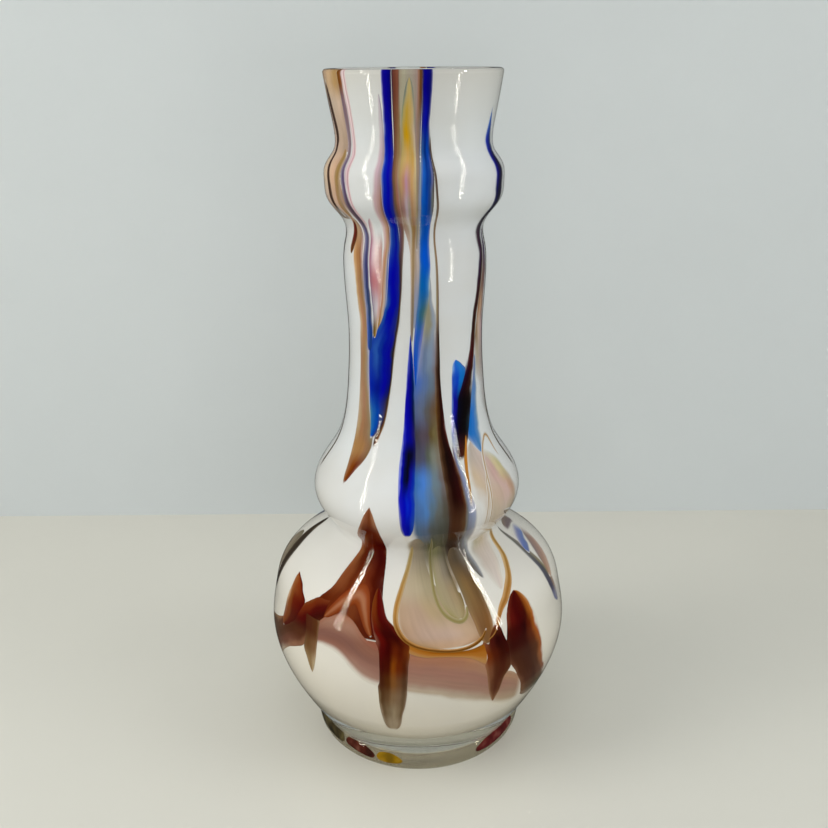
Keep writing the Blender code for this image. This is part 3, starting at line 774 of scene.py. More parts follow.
band("pink_stripe_left", "pink_glass", [
    (292, -25, -22), (280, -26.6, -21.6), (270, -27.6, -21.2), (262, -28.2, -20.8), (255, -28.6, -20.4),
    (248, -29, -20.2), (242, -28.6, -20.8), (236, -28, -21.2), (230, -28, -22.2), (222, -29.2, -22.8),
    (215, -31, -24.4), (208, -33.6, -27), (202, -37, -31), (198, -41, -35),
], streak_glass("rose stripe with a brown edge", {
    284: "0 #AAA5A500 50 #B0A4AA 100 #8A8090",
    266: "0 #C4C0BF00 45 #AE959C 80 #96828A 100 #7A6A70",
    254: "0 #BAB0AF00 40 #A48A8C 70 #9A7A76 88 #80604C 100 #50406A",
    242: "0 #BEADAA00 35 #B49A98 60 #A8846E 80 #8A6850 100 #505080",
    230: "0 #B0907800 30 #AA8070 55 #98724E 80 #9A8A84 100 #335090",
    214: "0 #B3909000 35 #9A6C50 60 #A49084 100 #406090",
    201: "0 #6A5028 40 #8A6A30 70 #A18F79 100 #667CA0",
}, soft=(0.1, 0)), 1, (6, 4))

band("pink_tongue", "pink_glass", [
    (248, -39, -29.5), (242, -41, -28.6), (232, -41.6, -27.6), (226, -41, -27.2), (220, -40, -27.6),
    (214, -39.4, -29.2), (208, -38.8, -31.6), (203, -39.6, -34), (198, -40.6, -36.4),
], streak_glass("pink tongue with a painted highlight", {
    243: "0 #8A6A74 20 #AA8C92 50 #DED0CA00 100 #C8BAB000",
    # The pale stop at 55 percent across at 233 mm is a painted highlight: the neck's glint laid into
    # the colour.
    233: "0 #805A66 14 #926477 35 #BAA0A6 55 #CCB8B6 80 #AE8C88 100 #A27E74",
    222: "0 #6A5A74 15 #8A5A66 40 #A06468 60 #A26A70 82 #AA7C78 100 #B09078",
    211: "0 #6A6074 25 #9A9098 50 #ABA3A9 75 #B0908C 100 #916C57",
    201: "0 #4B3B34 35 #634915 70 #8A744C 100 #A18F7900",
}, soft=(0.05, 0.08)), 2, (5, 3))

band("tan_drip_left", "tan_glass", [
    (248, -60, -50.5), (240, -61.5, -49.4), (232, -62, -48.4), (226, -60.4, -47.4), (215, -58.4, -46.2),
    (205, -57.8, -45.6), (195, -58, -45.6), (185, -57.8, -45.4), (175, -57.8, -44.6), (166, -58, -42.6),
    (158, -58.2, -37.4), (152, -57.8, -36.4), (148, -57.2, -38), (144, -55.8, -41), (140, -53.8, -45),
    (134, -51, -49),
], streak_glass("tan drip, browner in its drop", {
    243: "0 #80706000 25 #8A6248 50 #A08468 80 #907860 100 #887272",
    231: "0 #C59F75 20 #AB835A 50 #946840 75 #865A3C 92 #A89088 100 #AD9898",
    220: "0 #D0BA9F00 25 #A8875E 45 #926C4C 70 #84603C 90 #867466 100 #8B828E",
    206: "0 #C6B69F00 22 #A88C6C 50 #986C50 75 #8A6A4C 100 #878086",
    188: "0 #9A846C 25 #8A6850 50 #8B6A46 75 #867258 100 #868694",
    170: "0 #A8947A 20 #96785C 50 #8E6850 75 #84694C 100 #8A8074",
    158: "0 #A8907A 20 #98805E 40 #8B6345 65 #7D5F44 88 #7A705A 100 #808074",
    149: "0 #9A7C58 20 #8E683E 50 #8A643C 72 #7C5C42 92 #6C5538 100 #807666",
    141: "0 #907860 20 #7D5434 45 #70380E 70 #5D2403 90 #5E3226 100 #8A6A5A",
}, soft=(0.06, 0)), 1, (5, 5), 200)

thread("drip_tip_left", "oxblood_glass", [
    (246, -55.5, 0.7), (242, -59, 1.3), (237, -62.6, 1.7), (233.5, -64.6, 1.6), (230.5, -65.4, 1.0),
], streak_glass("oxblood tip", {
    238: "0 #7F5A48 40 #5A1C14 70 #4A1A10 100 #61381E",
    231: "0 #8A6A48 50 #4E2A12 100 #61401E",
}), 3, (3, 3))

band("violet_band_right", "violet_glass", [
    (286.5, 69, 71), (280, 66.6, 76), (275, 64, 78.6), (270, 65.6, 81.5), (265, 63.4, 80.5),
    (258, 62.6, 80), (252, 62.6, 78.5), (246, 62.6, 78.5), (240, 62.8, 79), (235, 64, 78.6),
    (230, 64, 76), (225, 62, 73.6), (220, 60.6, 72), (210, 58.4, 68.4), (200, 57, 66.4),
    (193, 54.6, 64.8), (187, 51, 63.6), (182, 47, 62), (177, 42, 60), (172, 37, 57.6),
    (166, 34.8, 54.6), (160, 33.8, 51), (155, 33, 47), (150, 31.8, 42), (145, 31, 36.4),
], streak_glass("violet glass, black where it is thick", {
    282: "0 #B5C0CA00 30 #4468B0 60 #1C4283 100 #9098A800",
    274: "0 #ADBEC400 25 #1A2C98 50 #10187A 75 #283A60 100 #75808C00",
    264: "0 #777AB300 20 #0E0A7A 40 #0A0448 70 #1C1628 100 #50485800",
    254: "0 #8F93AD00 20 #0A0A40 45 #0C0A24 70 #1C1A2C 100 #70717900",
    245: "0 #94989900 25 #3A363C 60 #28242C 100 #54545800",
    236: "0 #79747800 30 #38222E 60 #2A1C2A 100 #58565B00",
    226: "0 #A0A0AC00 25 #3A2840 50 #1F0C22 75 #40302C 100 #7A605300",
    214: "0 #A8A4A200 22 #3A2020 50 #20060A 75 #4A2E22 100 #7A604800",
    200: "0 #B4ADAB00 20 #3A2018 45 #1E0805 75 #402818 100 #6A584000",
    189: "0 #AFAEAC00 22 #4C2020 50 #30080A 78 #400C08 100 #6B554500",
    180: "0 #1A3470 15 #1E0A28 45 #1C0008 75 #301810 100 #50506000",
    169: "0 #00042A 20 #02020E 50 #040102 80 #0A0404 100 #33323A",
    158: "0 #04042A 30 #040004 60 #060404 85 #121C24 100 #2A404C",
    148: "0 #3A2020 40 #341411 70 #3A1A0C 100 #70502A",
}, soft=(0.04, 0.04)), 4, (8, 4), 300)

band("tan_band_right", "tan_glass", [
    (240, 74, 84), (232, 71, 86), (224, 68, 84), (214, 64.5, 82), (206, 63, 84), (198, 62, 88),
    (190, 60.5, 91), (182, 61, 93), (174, 66, 94), (164, 72, 95), (152, 80, 96),
], streak_glass("tan and rose band", {
    230: "0 #50405000 30 #5A4A58 60 #3A3448 100 #A0A0A400",
    219: "0 #6A4430 25 #7A6053 50 #6A5048 80 #6A585A 100 #92919500",
    208: "0 #6A4830 25 #8A6444 50 #AD8D74 80 #8A7060 100 #73676300",
    198: "0 #5A4028 25 #8C7458 45 #B39C8F 70 #B0989A 90 #86747A 100 #62595500",
    187: "0 #6B554500 25 #A39785 60 #A19490 85 #8E8286 100 #7C7478",
    172: "0 #A09F9F00 50 #ACA8A8 80 #8A8484 100 #706A68",
    158: "0 #9A9A9800 50 #9A948C 100 #6C676200",
}, soft=(0.1, 0.2)), 2, (8, 10))

band("azure_patch", "azure_glass", [
    (188.4, 36, 39.5), (186, 34, 45), (183.5, 33.2, 50), (181, 32.6, 52), (177, 32.4, 48),
    (172, 32, 43), (166, 31.2, 40), (160, 30.2, 38), (154, 29.2, 36), (148.5, 28.6, 33.6),
], streak_glass("azure patch, navy below", {
    186: "0 #7AA0D0 30 #1C58B8 70 #1E68B4 100 #40609A",
    180: "0 #99A9C1 15 #1C47A9 40 #0836A8 60 #095FAB 100 #145492",
    170: "0 #627BBD 25 #0C0C88 50 #080778 80 #00021B 100 #020205",
    160: "0 #4A58A8 25 #26298E 55 #04043B 100 #040224",
    150: "0 #64799800 40 #6A6A88 80 #402828 100 #361814",
}, soft=(0.05, 0.02)), 3, (3, 4))

band("azure_patch_low", "azure_glass", [
    (188, 61, 65), (184, 59, 66.5), (178, 56, 66), (172, 53, 65.5), (166, 49.6, 64.5), (160, 46, 64),
    (155, 43.6, 63.6), (150, 47.6, 62), (145, 53, 59),
], streak_glass("light azure patch", {
    181: "0 #60607A00 40 #66709A 70 #6A7C90 100 #8E939100",
    171: "0 #40507A 30 #4C73A8 60 #4A72A6 80 #7A90A8 100 #9DA0A400",
    162: "0 #1D4C7D 25 #0A5DAF 50 #2A66B0 72 #5076A0 88 #8A9CA8 100 #9AA2A800",
    155: "0 #607890 20 #1A60A8 45 #2464AC 70 #4A74A0 100 #90A0A800",
    148: "0 #8A94AA00 30 #5A7CA8 60 #40709C 100 #8A9CA000",
}, soft=(0.06, 0.1)), 2, (3, 5))

thread("amber_thread_right", "amber_glass", [
    (155, 43.2, 0.4), (151, 41.4, 0.75), (146, 38.4, 0.85), (140, 35.2, 0.75), (134, 33, 0.6),
    (129, 31.4, 0.4),
], streak_glass("amber hairline", {
    146: "0 #9A6A30 50 #A8681C 100 #B08038",
    132: "0 #9A7A50 50 #8A6838 100 #A08050",
}, soft=(0, 0)), 4, (3, 6))

band("pink_leaf_right", "pink_glass", [
    (152, 44, 52), (147, 38, 60), (141, 35, 70), (134, 33, 74), (127, 33, 76), (120, 34, 76),
    (114, 36, 74), (109, 40, 66),
], streak_glass("rose and buff haze", {
    147: "0 #A2968500 30 #A4988E 60 #B0A29A 100 #A09A8800",
    138: "0 #AF956C00 18 #B29E86 45 #AE9C90 60 #B0928A 75 #B8AA84 90 #A8A078 100 #B0A48C00",
    129: "0 #B3A49800 25 #AA9A88 45 #AE9888 62 #B59A92 76 #AA8A74 90 #A4907E 100 #A2988900",
    119: "0 #A89F9300 30 #AA9C8A 55 #B2A698 80 #AEA290 100 #AAA99B00",
    111: "0 #9A907600 50 #A49A84 100 #98907A00",
}, soft=(0.15, 0.15)), 0, (4, 4))

buff_line = streak_glass("buff hairline", {
    140: "0 #B7A99800 50 #9C7C50 100 #B7A99800",
    112: "0 #B7A99800 50 #90785A 100 #B7A99800",
})

thread("buff_line_high", "tan_glass", [
    (140, 73, 0.8), (148.5, 71, 1.3), (151, 66.5, 1.4), (148.5, 60.5, 1.1), (144, 55, 0.9),
    (138, 50.6, 0.8), (131, 47.2, 0.8), (124, 45, 0.7), (117, 44, 0.6),
], buff_line, 3, (6, 6), 160)

thread("buff_line_low", "tan_glass", [
    (141, 54), (136, 48), (130, 44), (124, 41.6), (118, 40.6),
], buff_line, 2, (6, 6), 120, 0.5)

thread("taupe_line_waist", "tan_glass", [
    (121, 57, 1.2), (118.8, 63, 1.9), (116, 70, 2.3), (111.6, 77, 2.3), (107, 84, 2.1), (103, 92, 1.9),
    (99.6, 103, 1.4),
], streak_glass("taupe line", {
    112: "0 #70625800 30 #706258 65 #877A6C 100 #9A8E7E00",
}), 2, (8, 8), 140)

band("slate_sliver", "slate_glass", [
    (152, 28.4, 30.4), (146, 28.8, 32), (140, 29.2, 33.4), (132, 28.6, 34.6), (124, 27.8, 35.2),
    (116, 27.4, 35.6), (109, 29.4, 37.6), (103, 31.6, 38.6), (98, 33.6, 39), (94, 35, 38),
], streak_glass("slate blue sliver", {
    146: "0 #604038 40 #6A7090 80 #8490A0 100 #A0A0A000",
    128: "0 #505048 30 #70768A 65 #7F869C 100 #A89F9300",
    113: "0 #504840 30 #646468 60 #77787A 100 #96897900",
    101: "0 #5A504A 40 #6A6866 70 #838589 100 #A0988A00",
}, soft=(0, 0.1)), 2, (4, 6))

# ---------------------------------------------------------------- globe, front

band("oxblood_waist", "oxblood_glass", [
    (129.5, -27.8, -26.6), (126, -30.2, -24.2), (121, -33.4, -21.8), (116, -38, -20.4),
    (112, -41, -20.6), (107, -42.4, -21), (103, -43.4, -20.8), (99, -44.4, -19.4), (95, -44.4, -17.6),
    (91, -44, -15.6), (88, -46, -13.8), (85, -48, -11.5), (82, -46, -10), (79, -42, -12),
], streak_glass("oxblood with amber where it thins", {
    125: "0 #895C41 30 #6E3F28 60 #623015 100 #896146",
    118: "0 #7B5035 25 #522511 50 #441106 80 #4B1709 100 #6E4532",
    110: "0 #895C41 20 #63341D 40 #481405 65 #370200 88 #380401 100 #563023",
    102: "0 #89502B 12 #744324 30 #491705 55 #4B180C 78 #360200 93 #3D0702 100 #6E4532",
    94: "0 #764020 12 #6D381B 30 #57220A 50 #71391D 64 #5B210C 80 #3F0B00 100 #3F140C",
    87: "0 #4F1704 12 #4F1902 30 #541E06 50 #602C13 70 #481706 85 #3F0401 100 #430200",
}, soft=(0, 0)), 2, (4, 0), 200)

band("oxblood_branch_left", "oxblood_glass", [
    (-40, 88, -40, 81), (-46, 87, -44, 76), (-50, 84.5, -48, 66), (-55, 80, -52, 62.6),
    (-60, 75, -58, 58.6), (-65, 70, -64, 52.8), (-70, 66.5, -70, 46), (-75, 64, -75, 42),
    (-80, 61.5, -80, 38.5), (-88, 57, -88, 35), (-96, 53, -96, 33),
], streak_glass("oxblood branch, smoky where it thins", {
    93: "0 #663821 50 #501B02 100 #5D2506",
    84: "0 #6B3918 12 #5D2006 40 #420703 80 #330601 100 #401807",
    77: "0 #794621 10 #5D1F06 30 #420300 65 #2C0401 90 #401807 100 #5D3924",
    70: "0 #795236 12 #522818 40 #42200D 75 #482513 100 #6B4730",
    62: "0 #795F48 15 #4F3827 45 #492D1C 75 #5F3B2C 100 #825D47",
    54: "0 #8A8070 20 #6A5F50 50 #58412F 75 #664538 100 #A0907C",
    47: "0 #7E6350 40 #664A38 70 #6B4E3C 100 #A0907C",
    38: "0 #9A8C78 40 #795A48 80 #876856 100 #B0A48C",
}, soft=(0, 0)), 4, (0, 12), 200)

band("oxblood_spike_left", "oxblood_glass", [
    (88, -67.6, -66.6), (86.8, -67, -60), (85, -65.8, -56), (83, -65, -52), (79, -64.8, -52),
    (74, -65, -54), (70, -65.6, -58), (66, -66, -62),
], streak_glass("oxblood spike with an amber side", {
    87: "0 #9A6C4F 30 #7E4821 70 #702E0C 100 #541403",
    81: "0 #B08C6C 20 #734018 45 #561401 100 #450300",
    73: "0 #7E543C 25 #6A3616 60 #451304 100 #3A0801",
}, soft=(0, 0)), 5, (5, 4))

band("oxblood_spike_low", "oxblood_glass", [
    (80, -50, -40.8), (75, -49, -40.9), (70, -48.5, -41), (65, -48, -41), (61.5, -46, -41.3),
    (58, -44.6, -41.8), (55.5, -43.6, -42.4),
], streak_glass("amber brown spike, thinning to buff", {
    75: "0 #401806 40 #45200E 80 #4A2810 100 #7A5C40",
    68: "0 #604830 40 #5A3C20 80 #684A30 100 #90785C",
    60: "0 #8A7454 50 #7C6444 100 #9A886C",
}, soft=(0, 0)), 5, (0, 8))

thread("amber_arch", "amber_glass", [
    (82.5, -39.5, 1.2), (86, -36.5, 2.6), (89.5, -33, 3.2), (91.5, -29, 3.2), (90.5, -25.5, 3.0),
    (87.5, -22.5, 2.4), (84, -20.2, 1.8), (80.5, -18, 1.2),
], streak_glass("amber arch", {
    90: "0 #5D1F08 22 #743615 50 #8C5B3F 78 #793818 100 #5D1F08",
    82: "0 #501604 30 #6E3317 55 #804C2C 80 #6B2D0E 100 #501604",
}, soft=(0, 0), wobble=0.05), 5, (2, 3), 160)

band("mauve_band_left", "mauve_glass", [
    (-41, 81.5, -41, 70), (-38, 84.6, -38, 70.4), (-33, 87, -33, 70), (-29, 87.4, -29, 68),
    (-25, 86, -25, 64.4), (-21, 82.4, -21, 61.4), (-17.5, 80, -17.5, 60), (-14, 78.6, -14, 59.4),
], streak_glass("mauve haze", {
    84: "0 #86533A 30 #8C6958 60 #7F5C4F 100 #8B604E",
    76: "0 #824D3D 25 #7A5343 55 #714D42 80 #7C5344 100 #947566",
    66: "0 #7C5D4B 35 #765044 60 #805D50 85 #8A6A5C 100 #9A7E6E",
}, soft=(0, 0.2), ends=(0, 0), wobble=0.05), 3, (0, 0))

band("oxblood_drip_left", "oxblood_glass", [
    (94, -22, -18), (90, -20.8, -15), (87, -19.8, -12.5), (85, -19, -9.3), (83, -18.2, -7),
    (80.5, -17.2, -4), (78.5, -16.4, -2), (75, -15.7, -2.4), (70, -15.3, -3), (65, -15, -3.2),
    (60, -14.8, -3.5), (55, -14.6, -4), (50, -14.5, -4.7), (45, -14.2, -5.8), (40, -13.8, -6.4),
    (36, -13.4, -7.2), (33, -13, -8),
], streak_glass("oxblood drip with an amber heart, smoky at its foot", {
    98: "0 #61301A 40 #440803 100 #440D08",
    90: "0 #612F0B 25 #612606 55 #470200 85 #4B0D09 100 #521A0D",
    82: "0 #704B3C 14 #520903 40 #2F0100 70 #2E0301 90 #440F04 100 #703E1A",
    76: "0 #61281A 12 #440503 35 #330100 55 #521A04 70 #451203 88 #582408 100 #754316",
    69: "0 #52241A 12 #390803 36 #3A0A01 52 #703706 66 #561E04 85 #441A06 100 #674334",
    62: "0 #5A3E2C 12 #3C1A0A 34 #482408 50 #6C4420 66 #5A3A22 86 #48301E 100 #6E5848",
    55: "0 #6E5A40 12 #4A321C 32 #5A4028 50 #725A40 70 #6C5640 88 #584430 100 #7E6A56",
    46: "0 #867460 12 #5E4A34 34 #726048 56 #84745C 76 #76644C 90 #604C36 100 #8A7A66",
    38: "0 #9A8E7C 15 #7C6A54 40 #8C7C66 70 #8C7C66 88 #7E6C56 100 #9E9282",
}, soft=(0, 0.05), ends=(0, 0.05), wobble=0.06), 5, (4, 7), 240)

band("mauve_band_right", "mauve_glass", [
    (-6, 76.4, -6, 57), (2, 75, 2, 55.6), (8, 74, 8, 54), (14, 73, 14, 51), (20, 71, 20, 48.6),
    (26, 66.5, 26, 46), (32, 62, 32, 41), (38, 58, 38, 38), (44, 51, 44, 36),
], streak_glass("mauve haze, thinning downward", {
    76: "0 #9A6440 12 #8E604A 35 #855F50 60 #846455 85 #917C6C 100 #A69B8400",
    58: "0 #9A8068 12 #927058 35 #8A6557 60 #8B6A5B 85 #A0907E 100 #A69B8400",
    42: "0 #A08C7A 30 #8F7460 70 #98846E 100 #B0A48C00",
}, soft=(0, 0.14), ends=(0.02, 0.1), wobble=0.06), 1, (0, 10), 160)

band("cream_veil", "cream_glass", [
    (118, -8, 8), (112, -8.6, 8.4), (105, -8, 8.4), (98, -8.6, 11), (92, -9.8, 17), (88, -9.8, 24),
    (84, -8.4, 28), (80, -4.6, 28), (76.6, 0, 24),
], streak_glass("cream and rose pool", {
    114: "0 #8A806E00 30 #7C7060 80 #625C50 100 #5A5648",
    104: "0 #A0907C00 30 #887C6A 60 #7E7462 100 #6C6250",
    95: "0 #A49480 35 #9C8E76 60 #90846A 100 #7A6C56",
    89: "0 #9C8268 30 #9A826E 50 #988466 75 #8E7C62 100 #8C765C",
    82: "0 #927458 30 #A08878 55 #A89080 80 #A68C74 100 #8A6A48",
    78: "0 #8A6A40 40 #A88A70 70 #B0927A 100 #906C48",
}, soft=(0.08, 0.12), wobble=0.06), 1, (6, 4))

band("olive_pool", "olive_glass", [
    (112, 8.6, 19.6), (106, 8.8, 20), (100, 8.6, 20.4), (95, 8.4, 21), (91, 9.6, 21.4),
    (88, 12.4, 20.6), (86.2, 16, 19),
], streak_glass("olive grey pool", {
    107: "0 #6A6644 30 #6A6648 60 #5E5A44 100 #484034",
    99: "0 #88805C 30 #8B8068 60 #7A7060 100 #4A4030",
    92: "0 #8A8060 35 #8C7F64 70 #88765A 100 #6A5838",
    87: "0 #80764A 50 #8E8062 100 #80704C",
}, soft=(0, 0), wobble=0.05), 2, (6, 2))

band("umber_pool", "umber_glass", [
    (108, 20, 29), (104, 20, 32), (100, 20, 33), (96, 20.5, 33), (92, 21, 32.4), (88, 21, 31.8),
    (84, 22, 31), (80, 23, 30.4), (75, 24.6, 29.4),
], streak_glass("umber pool, olive where it thins", {
    102: "0 #5C4C38 50 #4E4234 100 #6A6258",
    93: "0 #6A5A40 40 #6F5634 75 #5E462C 100 #80705A",
    82: "0 #8A6A48 40 #6A4A2C 75 #6E4A28 100 #8A6A48",
}, soft=(0.08, 0.1), wobble=0.05), 4, (6, 4))

thread("olive_loop", "olive_glass", [
    (118, 8, 0.5), (112, 9, 0.7), (106, 9, 0.8), (100, 8.4, 0.8), (95, 8, 0.8), (91, 9, 0.8),
    (88, 11.4, 0.8), (86, 15, 0.8), (85.6, 18, 0.8), (87, 20.6, 0.7), (89.4, 21.6, 0.5),
], streak_glass("olive hairline", {
    108: "0 #7A7258 50 #5E5A38 100 #7A7258",
    94: "0 #8A8060 50 #7A6E42 100 #8A8060",
}, soft=(0, 0)), 4, (6, 6), 160)

band("amber_band", "amber_glass", [
    (-5, 82.5, -5, 76), (-2, 80, -2.4, 74.4), (2, 77.8, 2, 73.2), (6, 76, 6, 73.2),
    (10, 75.2, 10, 72.9), (15, 74.8, 15, 72), (20, 74.8, 20, 70.2), (24, 75.6, 23.6, 67),
    (27, 77, 26, 64.5),
], streak_glass("burnt amber band", {
    80: "0 #7A4A10 20 #8A4E0E 50 #965E20 80 #9A7040 100 #856050",
}, soft=(0, 0), ends=(0.03, 0.03), wobble=0.05), 3, (3, 3), 150)

thread("amber_loop", "amber_glass", [
    (113, -3, 0.6), (106, -4.2, 0.9), (100, -5.8, 1.0), (95, -8, 1.1), (90, -9.4, 1.2),
    (85.4, -8.6, 1.1), (81.4, -5.6, 1.0), (78.8, -1.6, 0.9), (77, 3.6, 0.8), (75.9, 9.6, 0.75),
    (75.4, 15, 0.75), (76, 20, 0.8), (78, 24.2, 0.9), (81.5, 27, 0.8),
], streak_glass("amber loop, darker below", {
    104: "0 #A0906E 50 #8A7444 100 #A0906E",
    90: "0 #A78A60 50 #8E6228 100 #A78A60",
    80: "0 #906830 50 #5C3408 100 #A07440",
}, soft=(0, 0)), 5, (6, 6), 240)

thread("amber_line_right", "amber_glass", [
    (76.5, 27, 0.7), (78.5, 30, 0.8), (81, 32, 0.9), (83.4, 33.6, 0.9), (85.8, 36.4, 1.0),
    (87.4, 40, 1.1), (89.6, 45, 1.1), (91.6, 50, 1.0), (94, 55, 1.0), (96.6, 60, 1.1), (99.6, 63, 1.3),
    (103, 64.4, 1.4), (106.4, 63.6, 1.3), (109.4, 61.6, 1.1), (112.4, 57.6, 0.9), (115.4, 53.4, 0.7),
], streak_glass("amber line", {
    112: "0 #A08C6A 50 #806840 100 #A08C6A",
    98: "0 #BAA078 50 #8E6A30 100 #BAA078",
    86: "0 #A88050 50 #8A5A24 100 #A88050",
}, soft=(0, 0)), 4, (4, 8), 240)

band("rose_pool_right", "pink_glass", [
    (110, 38, 62), (105, 37.6, 63.4), (100, 38, 60.4), (96, 38.6, 55), (92.6, 39, 48), (90, 39.4, 43.4),
], streak_glass("rose pool", {
    107: "0 #8A887C00 20 #A09680 50 #A89A84 100 #B5A29000",
    98: "0 #A0988A00 30 #B3A69C 60 #BAAEA5 100 #B4A08800",
    92: "0 #ADA89A00 50 #BAAEA6 100 #B0987C00",
}, soft=(0.12, 0.1)), 1, (3, 3))

band("oxblood_drip_right", "oxblood_glass", [
    (82, 31, 33), (79.5, 27.5, 33.6), (77, 25, 34.2), (73.5, 24.4, 35.4), (70, 24.8, 37),
    (65, 24.6, 37.5), (61.5, 25, 36.2), (58, 25.4, 33.4), (54, 26, 32), (50, 27, 30.8),
    (46, 28.4, 29.4),
], streak_glass("oxblood drip with an amber side", {
    83: "0 #75502E 30 #603516 60 #582813 100 #522113",
    76: "0 #8D5930 15 #6C3C24 40 #401008 65 #250100 100 #310501",
    70: "0 #845033 12 #652A07 40 #441504 65 #2F0801 100 #300602",
    62: "0 #80593E 15 #653E28 40 #441F0E 65 #401A0B 88 #492816 100 #755440",
    54: "0 #825F46 20 #583521 50 #492313 85 #52301E 100 #84644B",
    47: "0 #8D6E54 40 #67432C 70 #6C4B34 100 #8D6D53",
}, soft=(0, 0), wobble=0.06), 4, (4, 6))

band("oxblood_leaf_right", "oxblood_glass", [
    (88.3, 45.5, 48), (87, 42, 49.4), (85, 39, 50.6), (82.5, 37, 51.3), (79, 36, 52.2), (75, 35.2, 53),
    (70, 34.4, 54), (65, 34.6, 54.6), (61, 36.4, 54.8), (58, 38, 55.2), (54, 39.4, 56.3), (50, 41, 58),
    (45, 42.2, 61), (40, 43.6, 66), (36, 45.4, 71),
], streak_glass("oxblood leaf with a bright amber side", {
    87: "0 #521A0C 30 #3A0100 60 #440801 80 #7E3E0E 100 #B08050",
    81: "0 #612B19 14 #4F0B04 40 #3A0000 66 #3A0600 82 #7E4110 93 #9A5E26 100 #B8906400",
    76: "0 #3A0801 30 #330100 55 #280000 75 #501700 90 #8A4916 100 #B8906400",
    70: "0 #3A1A0C 20 #310803 50 #2F0A04 72 #4E210E 88 #8D4B1C 100 #B9A39200",
    64: "0 #523020 20 #3E1F11 50 #3A1E14 72 #4A2A18 90 #844B26 100 #B0907400",
    57: "0 #704D38 15 #442414 40 #3E2013 68 #452B1D 88 #825030 100 #A8948000",
    50: "0 #67432E 20 #472819 50 #42271B 72 #543728 90 #7B523C 100 #A8988800",
    44: "0 #705039 25 #563E2C 50 #523E2C 75 #634D3C 100 #A8988800",
    37: "0 #908070 30 #736A5C 60 #6E6E58 100 #9A8A7A00",
}, soft=(0, 0.05), ends=(0, 0.06), wobble=0.06), 5, (3, 8), 240)

band("violet_shoulder_right", "violet_glass", [
    (103, 76.4, 79), (98, 75.4, 80.5), (94, 73, 80), (90, 70.6, 78), (86, 68.6, 77), (82, 67.6, 76),
    (78, 68.2, 76), (74, 69.6, 77), (70, 72, 78),
], streak_glass("charcoal haze, violet low down", {
    96: "0 #8E8C8C00 35 #5C5A54 70 #74706A 100 #8E8C8C00",
    86: "0 #8E8C8C00 20 #4A4A54 45 #46464A 75 #7A7058 100 #8E8C8C00",
    80: "0 #8E8C8C00 20 #3E3C4C 45 #484450 75 #8A7464 100 #8E8C8C00",
    74: "0 #A0A09C00 25 #6A6A88 55 #7E7C8A 100 #A0A09C00",
}, soft=(0.12, 0.25)), 3, (6, 6))

band("azure_shoulder_right", "azure_glass", [
    (75, 92.6, 75, 90.4), (78, 94.6, 78, 91), (83, 96.4, 83, 91.6), (88, 97, 88, 92.6),
    (94, 97, 94, 93), (100, 96.4, 100, 93.6),
], streak_glass("azure dash, violet on its upper side", {
    96: "0 #8E8C9C00 40 #747898 70 #6474A0 100 #8E8C8C00",
    92: "0 #7C7E9C 40 #50649C 70 #5A6890 100 #8E8C8C00",
}, soft=(0.2, 0.15), ends=(0.1, 0.3)), 4, (4, 6))

band("rose_shoulder_right", "mauve_glass", [
    (72.6, 85.4, 72.6, 79.6), (76, 88, 76, 81.4), (81, 90.6, 81, 83.8), (87, 92.6, 87, 86.4),
    (93, 94, 93, 89.4), (100, 95, 100, 92),
], streak_glass("rose brown dash", {
    90: "0 #746868 40 #8A7268 75 #9C8478 100 #A79B9200",
    83: "0 #7A6C50 40 #93735C 75 #A48A78 100 #A79B9200",
}, soft=(0.15, 0.3), ends=(0.08, 0.3)), 3, (5, 8))

band("taupe_shoulder_right", "tan_glass", [
    (83, 99.4, 83, 97), (88, 101.4, 88, 96.6), (94, 102, 94, 95.4), (100, 101, 100, 94),
    (106, 99, 106, 94),
], streak_glass("taupe haze on the shoulder", {
    98: "0 #A09C9400 35 #76685F 70 #6C6062 100 #A09C9400",
}, soft=(0.2, 0.25), ends=(0.25, 0.2)), 2, (5, 8))

band("taupe_shoulder_left", "tan_glass", [
    (-106, 90.6, -106, 80.4), (-99, 90, -99, 78.6), (-94, 88.6, -94, 76), (-90, 86.4, -90, 74),
    (-86.4, 83, -86.4, 76),
], streak_glass("taupe haze in the hook", {
    86: "0 #6A6250 50 #857A6A 100 #6A5E50",
    78: "0 #7C7262 50 #786C5C 100 #5C5040",
}, soft=(0, 0), ends=(0.1, 0.0)), 1, (6, 2))

thread("umber_line_hook", "umber_glass", [
    (80.8, -105), (79, -100), (76.8, -95.6), (74.2, -92), (71.4, -89.8),
], streak_glass("umber hairline", {
    78: "0 #6A5E50 50 #3A3028 100 #8A827400",
}), 3, (6, 4), 100, 0.9)

thread("umber_shoulder_left", "umber_glass", [
    (97, -104, 3.0), (93, -99, 2.4), (90.4, -94, 2.4), (87.8, -89, 2.8), (85, -85.4, 3.2),
    (81.4, -83, 3.4), (77.6, -83, 3.2), (74, -85.4, 2.8), (71, -88.6, 2.0), (67, -91, 1.0),
], streak_glass("umber hook", {
    86: "0 #5A4C3E 35 #30261C 75 #2C241C 100 #70665A",
}, soft=(0.08, 0.08)), 2, (8, 8))

# ---------------------------------------------------------------- streaks, back

band("cobalt_stripe_back", "cobalt_glass", [
    (RIM, 162.6, 169.6), (285, 163, 170.4), (270, 163, 171), (255, 162.4, 170.4), (240, 161, 169.4),
    (225, 158.4, 168.4), (212, 153, 166.4), (205, 147.6, 165), (196, 139.6, 162.6), (188, 136.4, 160),
    (178, 136, 157.4), (168, 137.4, 153.4), (160, 139, 148), (153, 141, 143),
], cobalt_left, 2, (0, 4), 200)

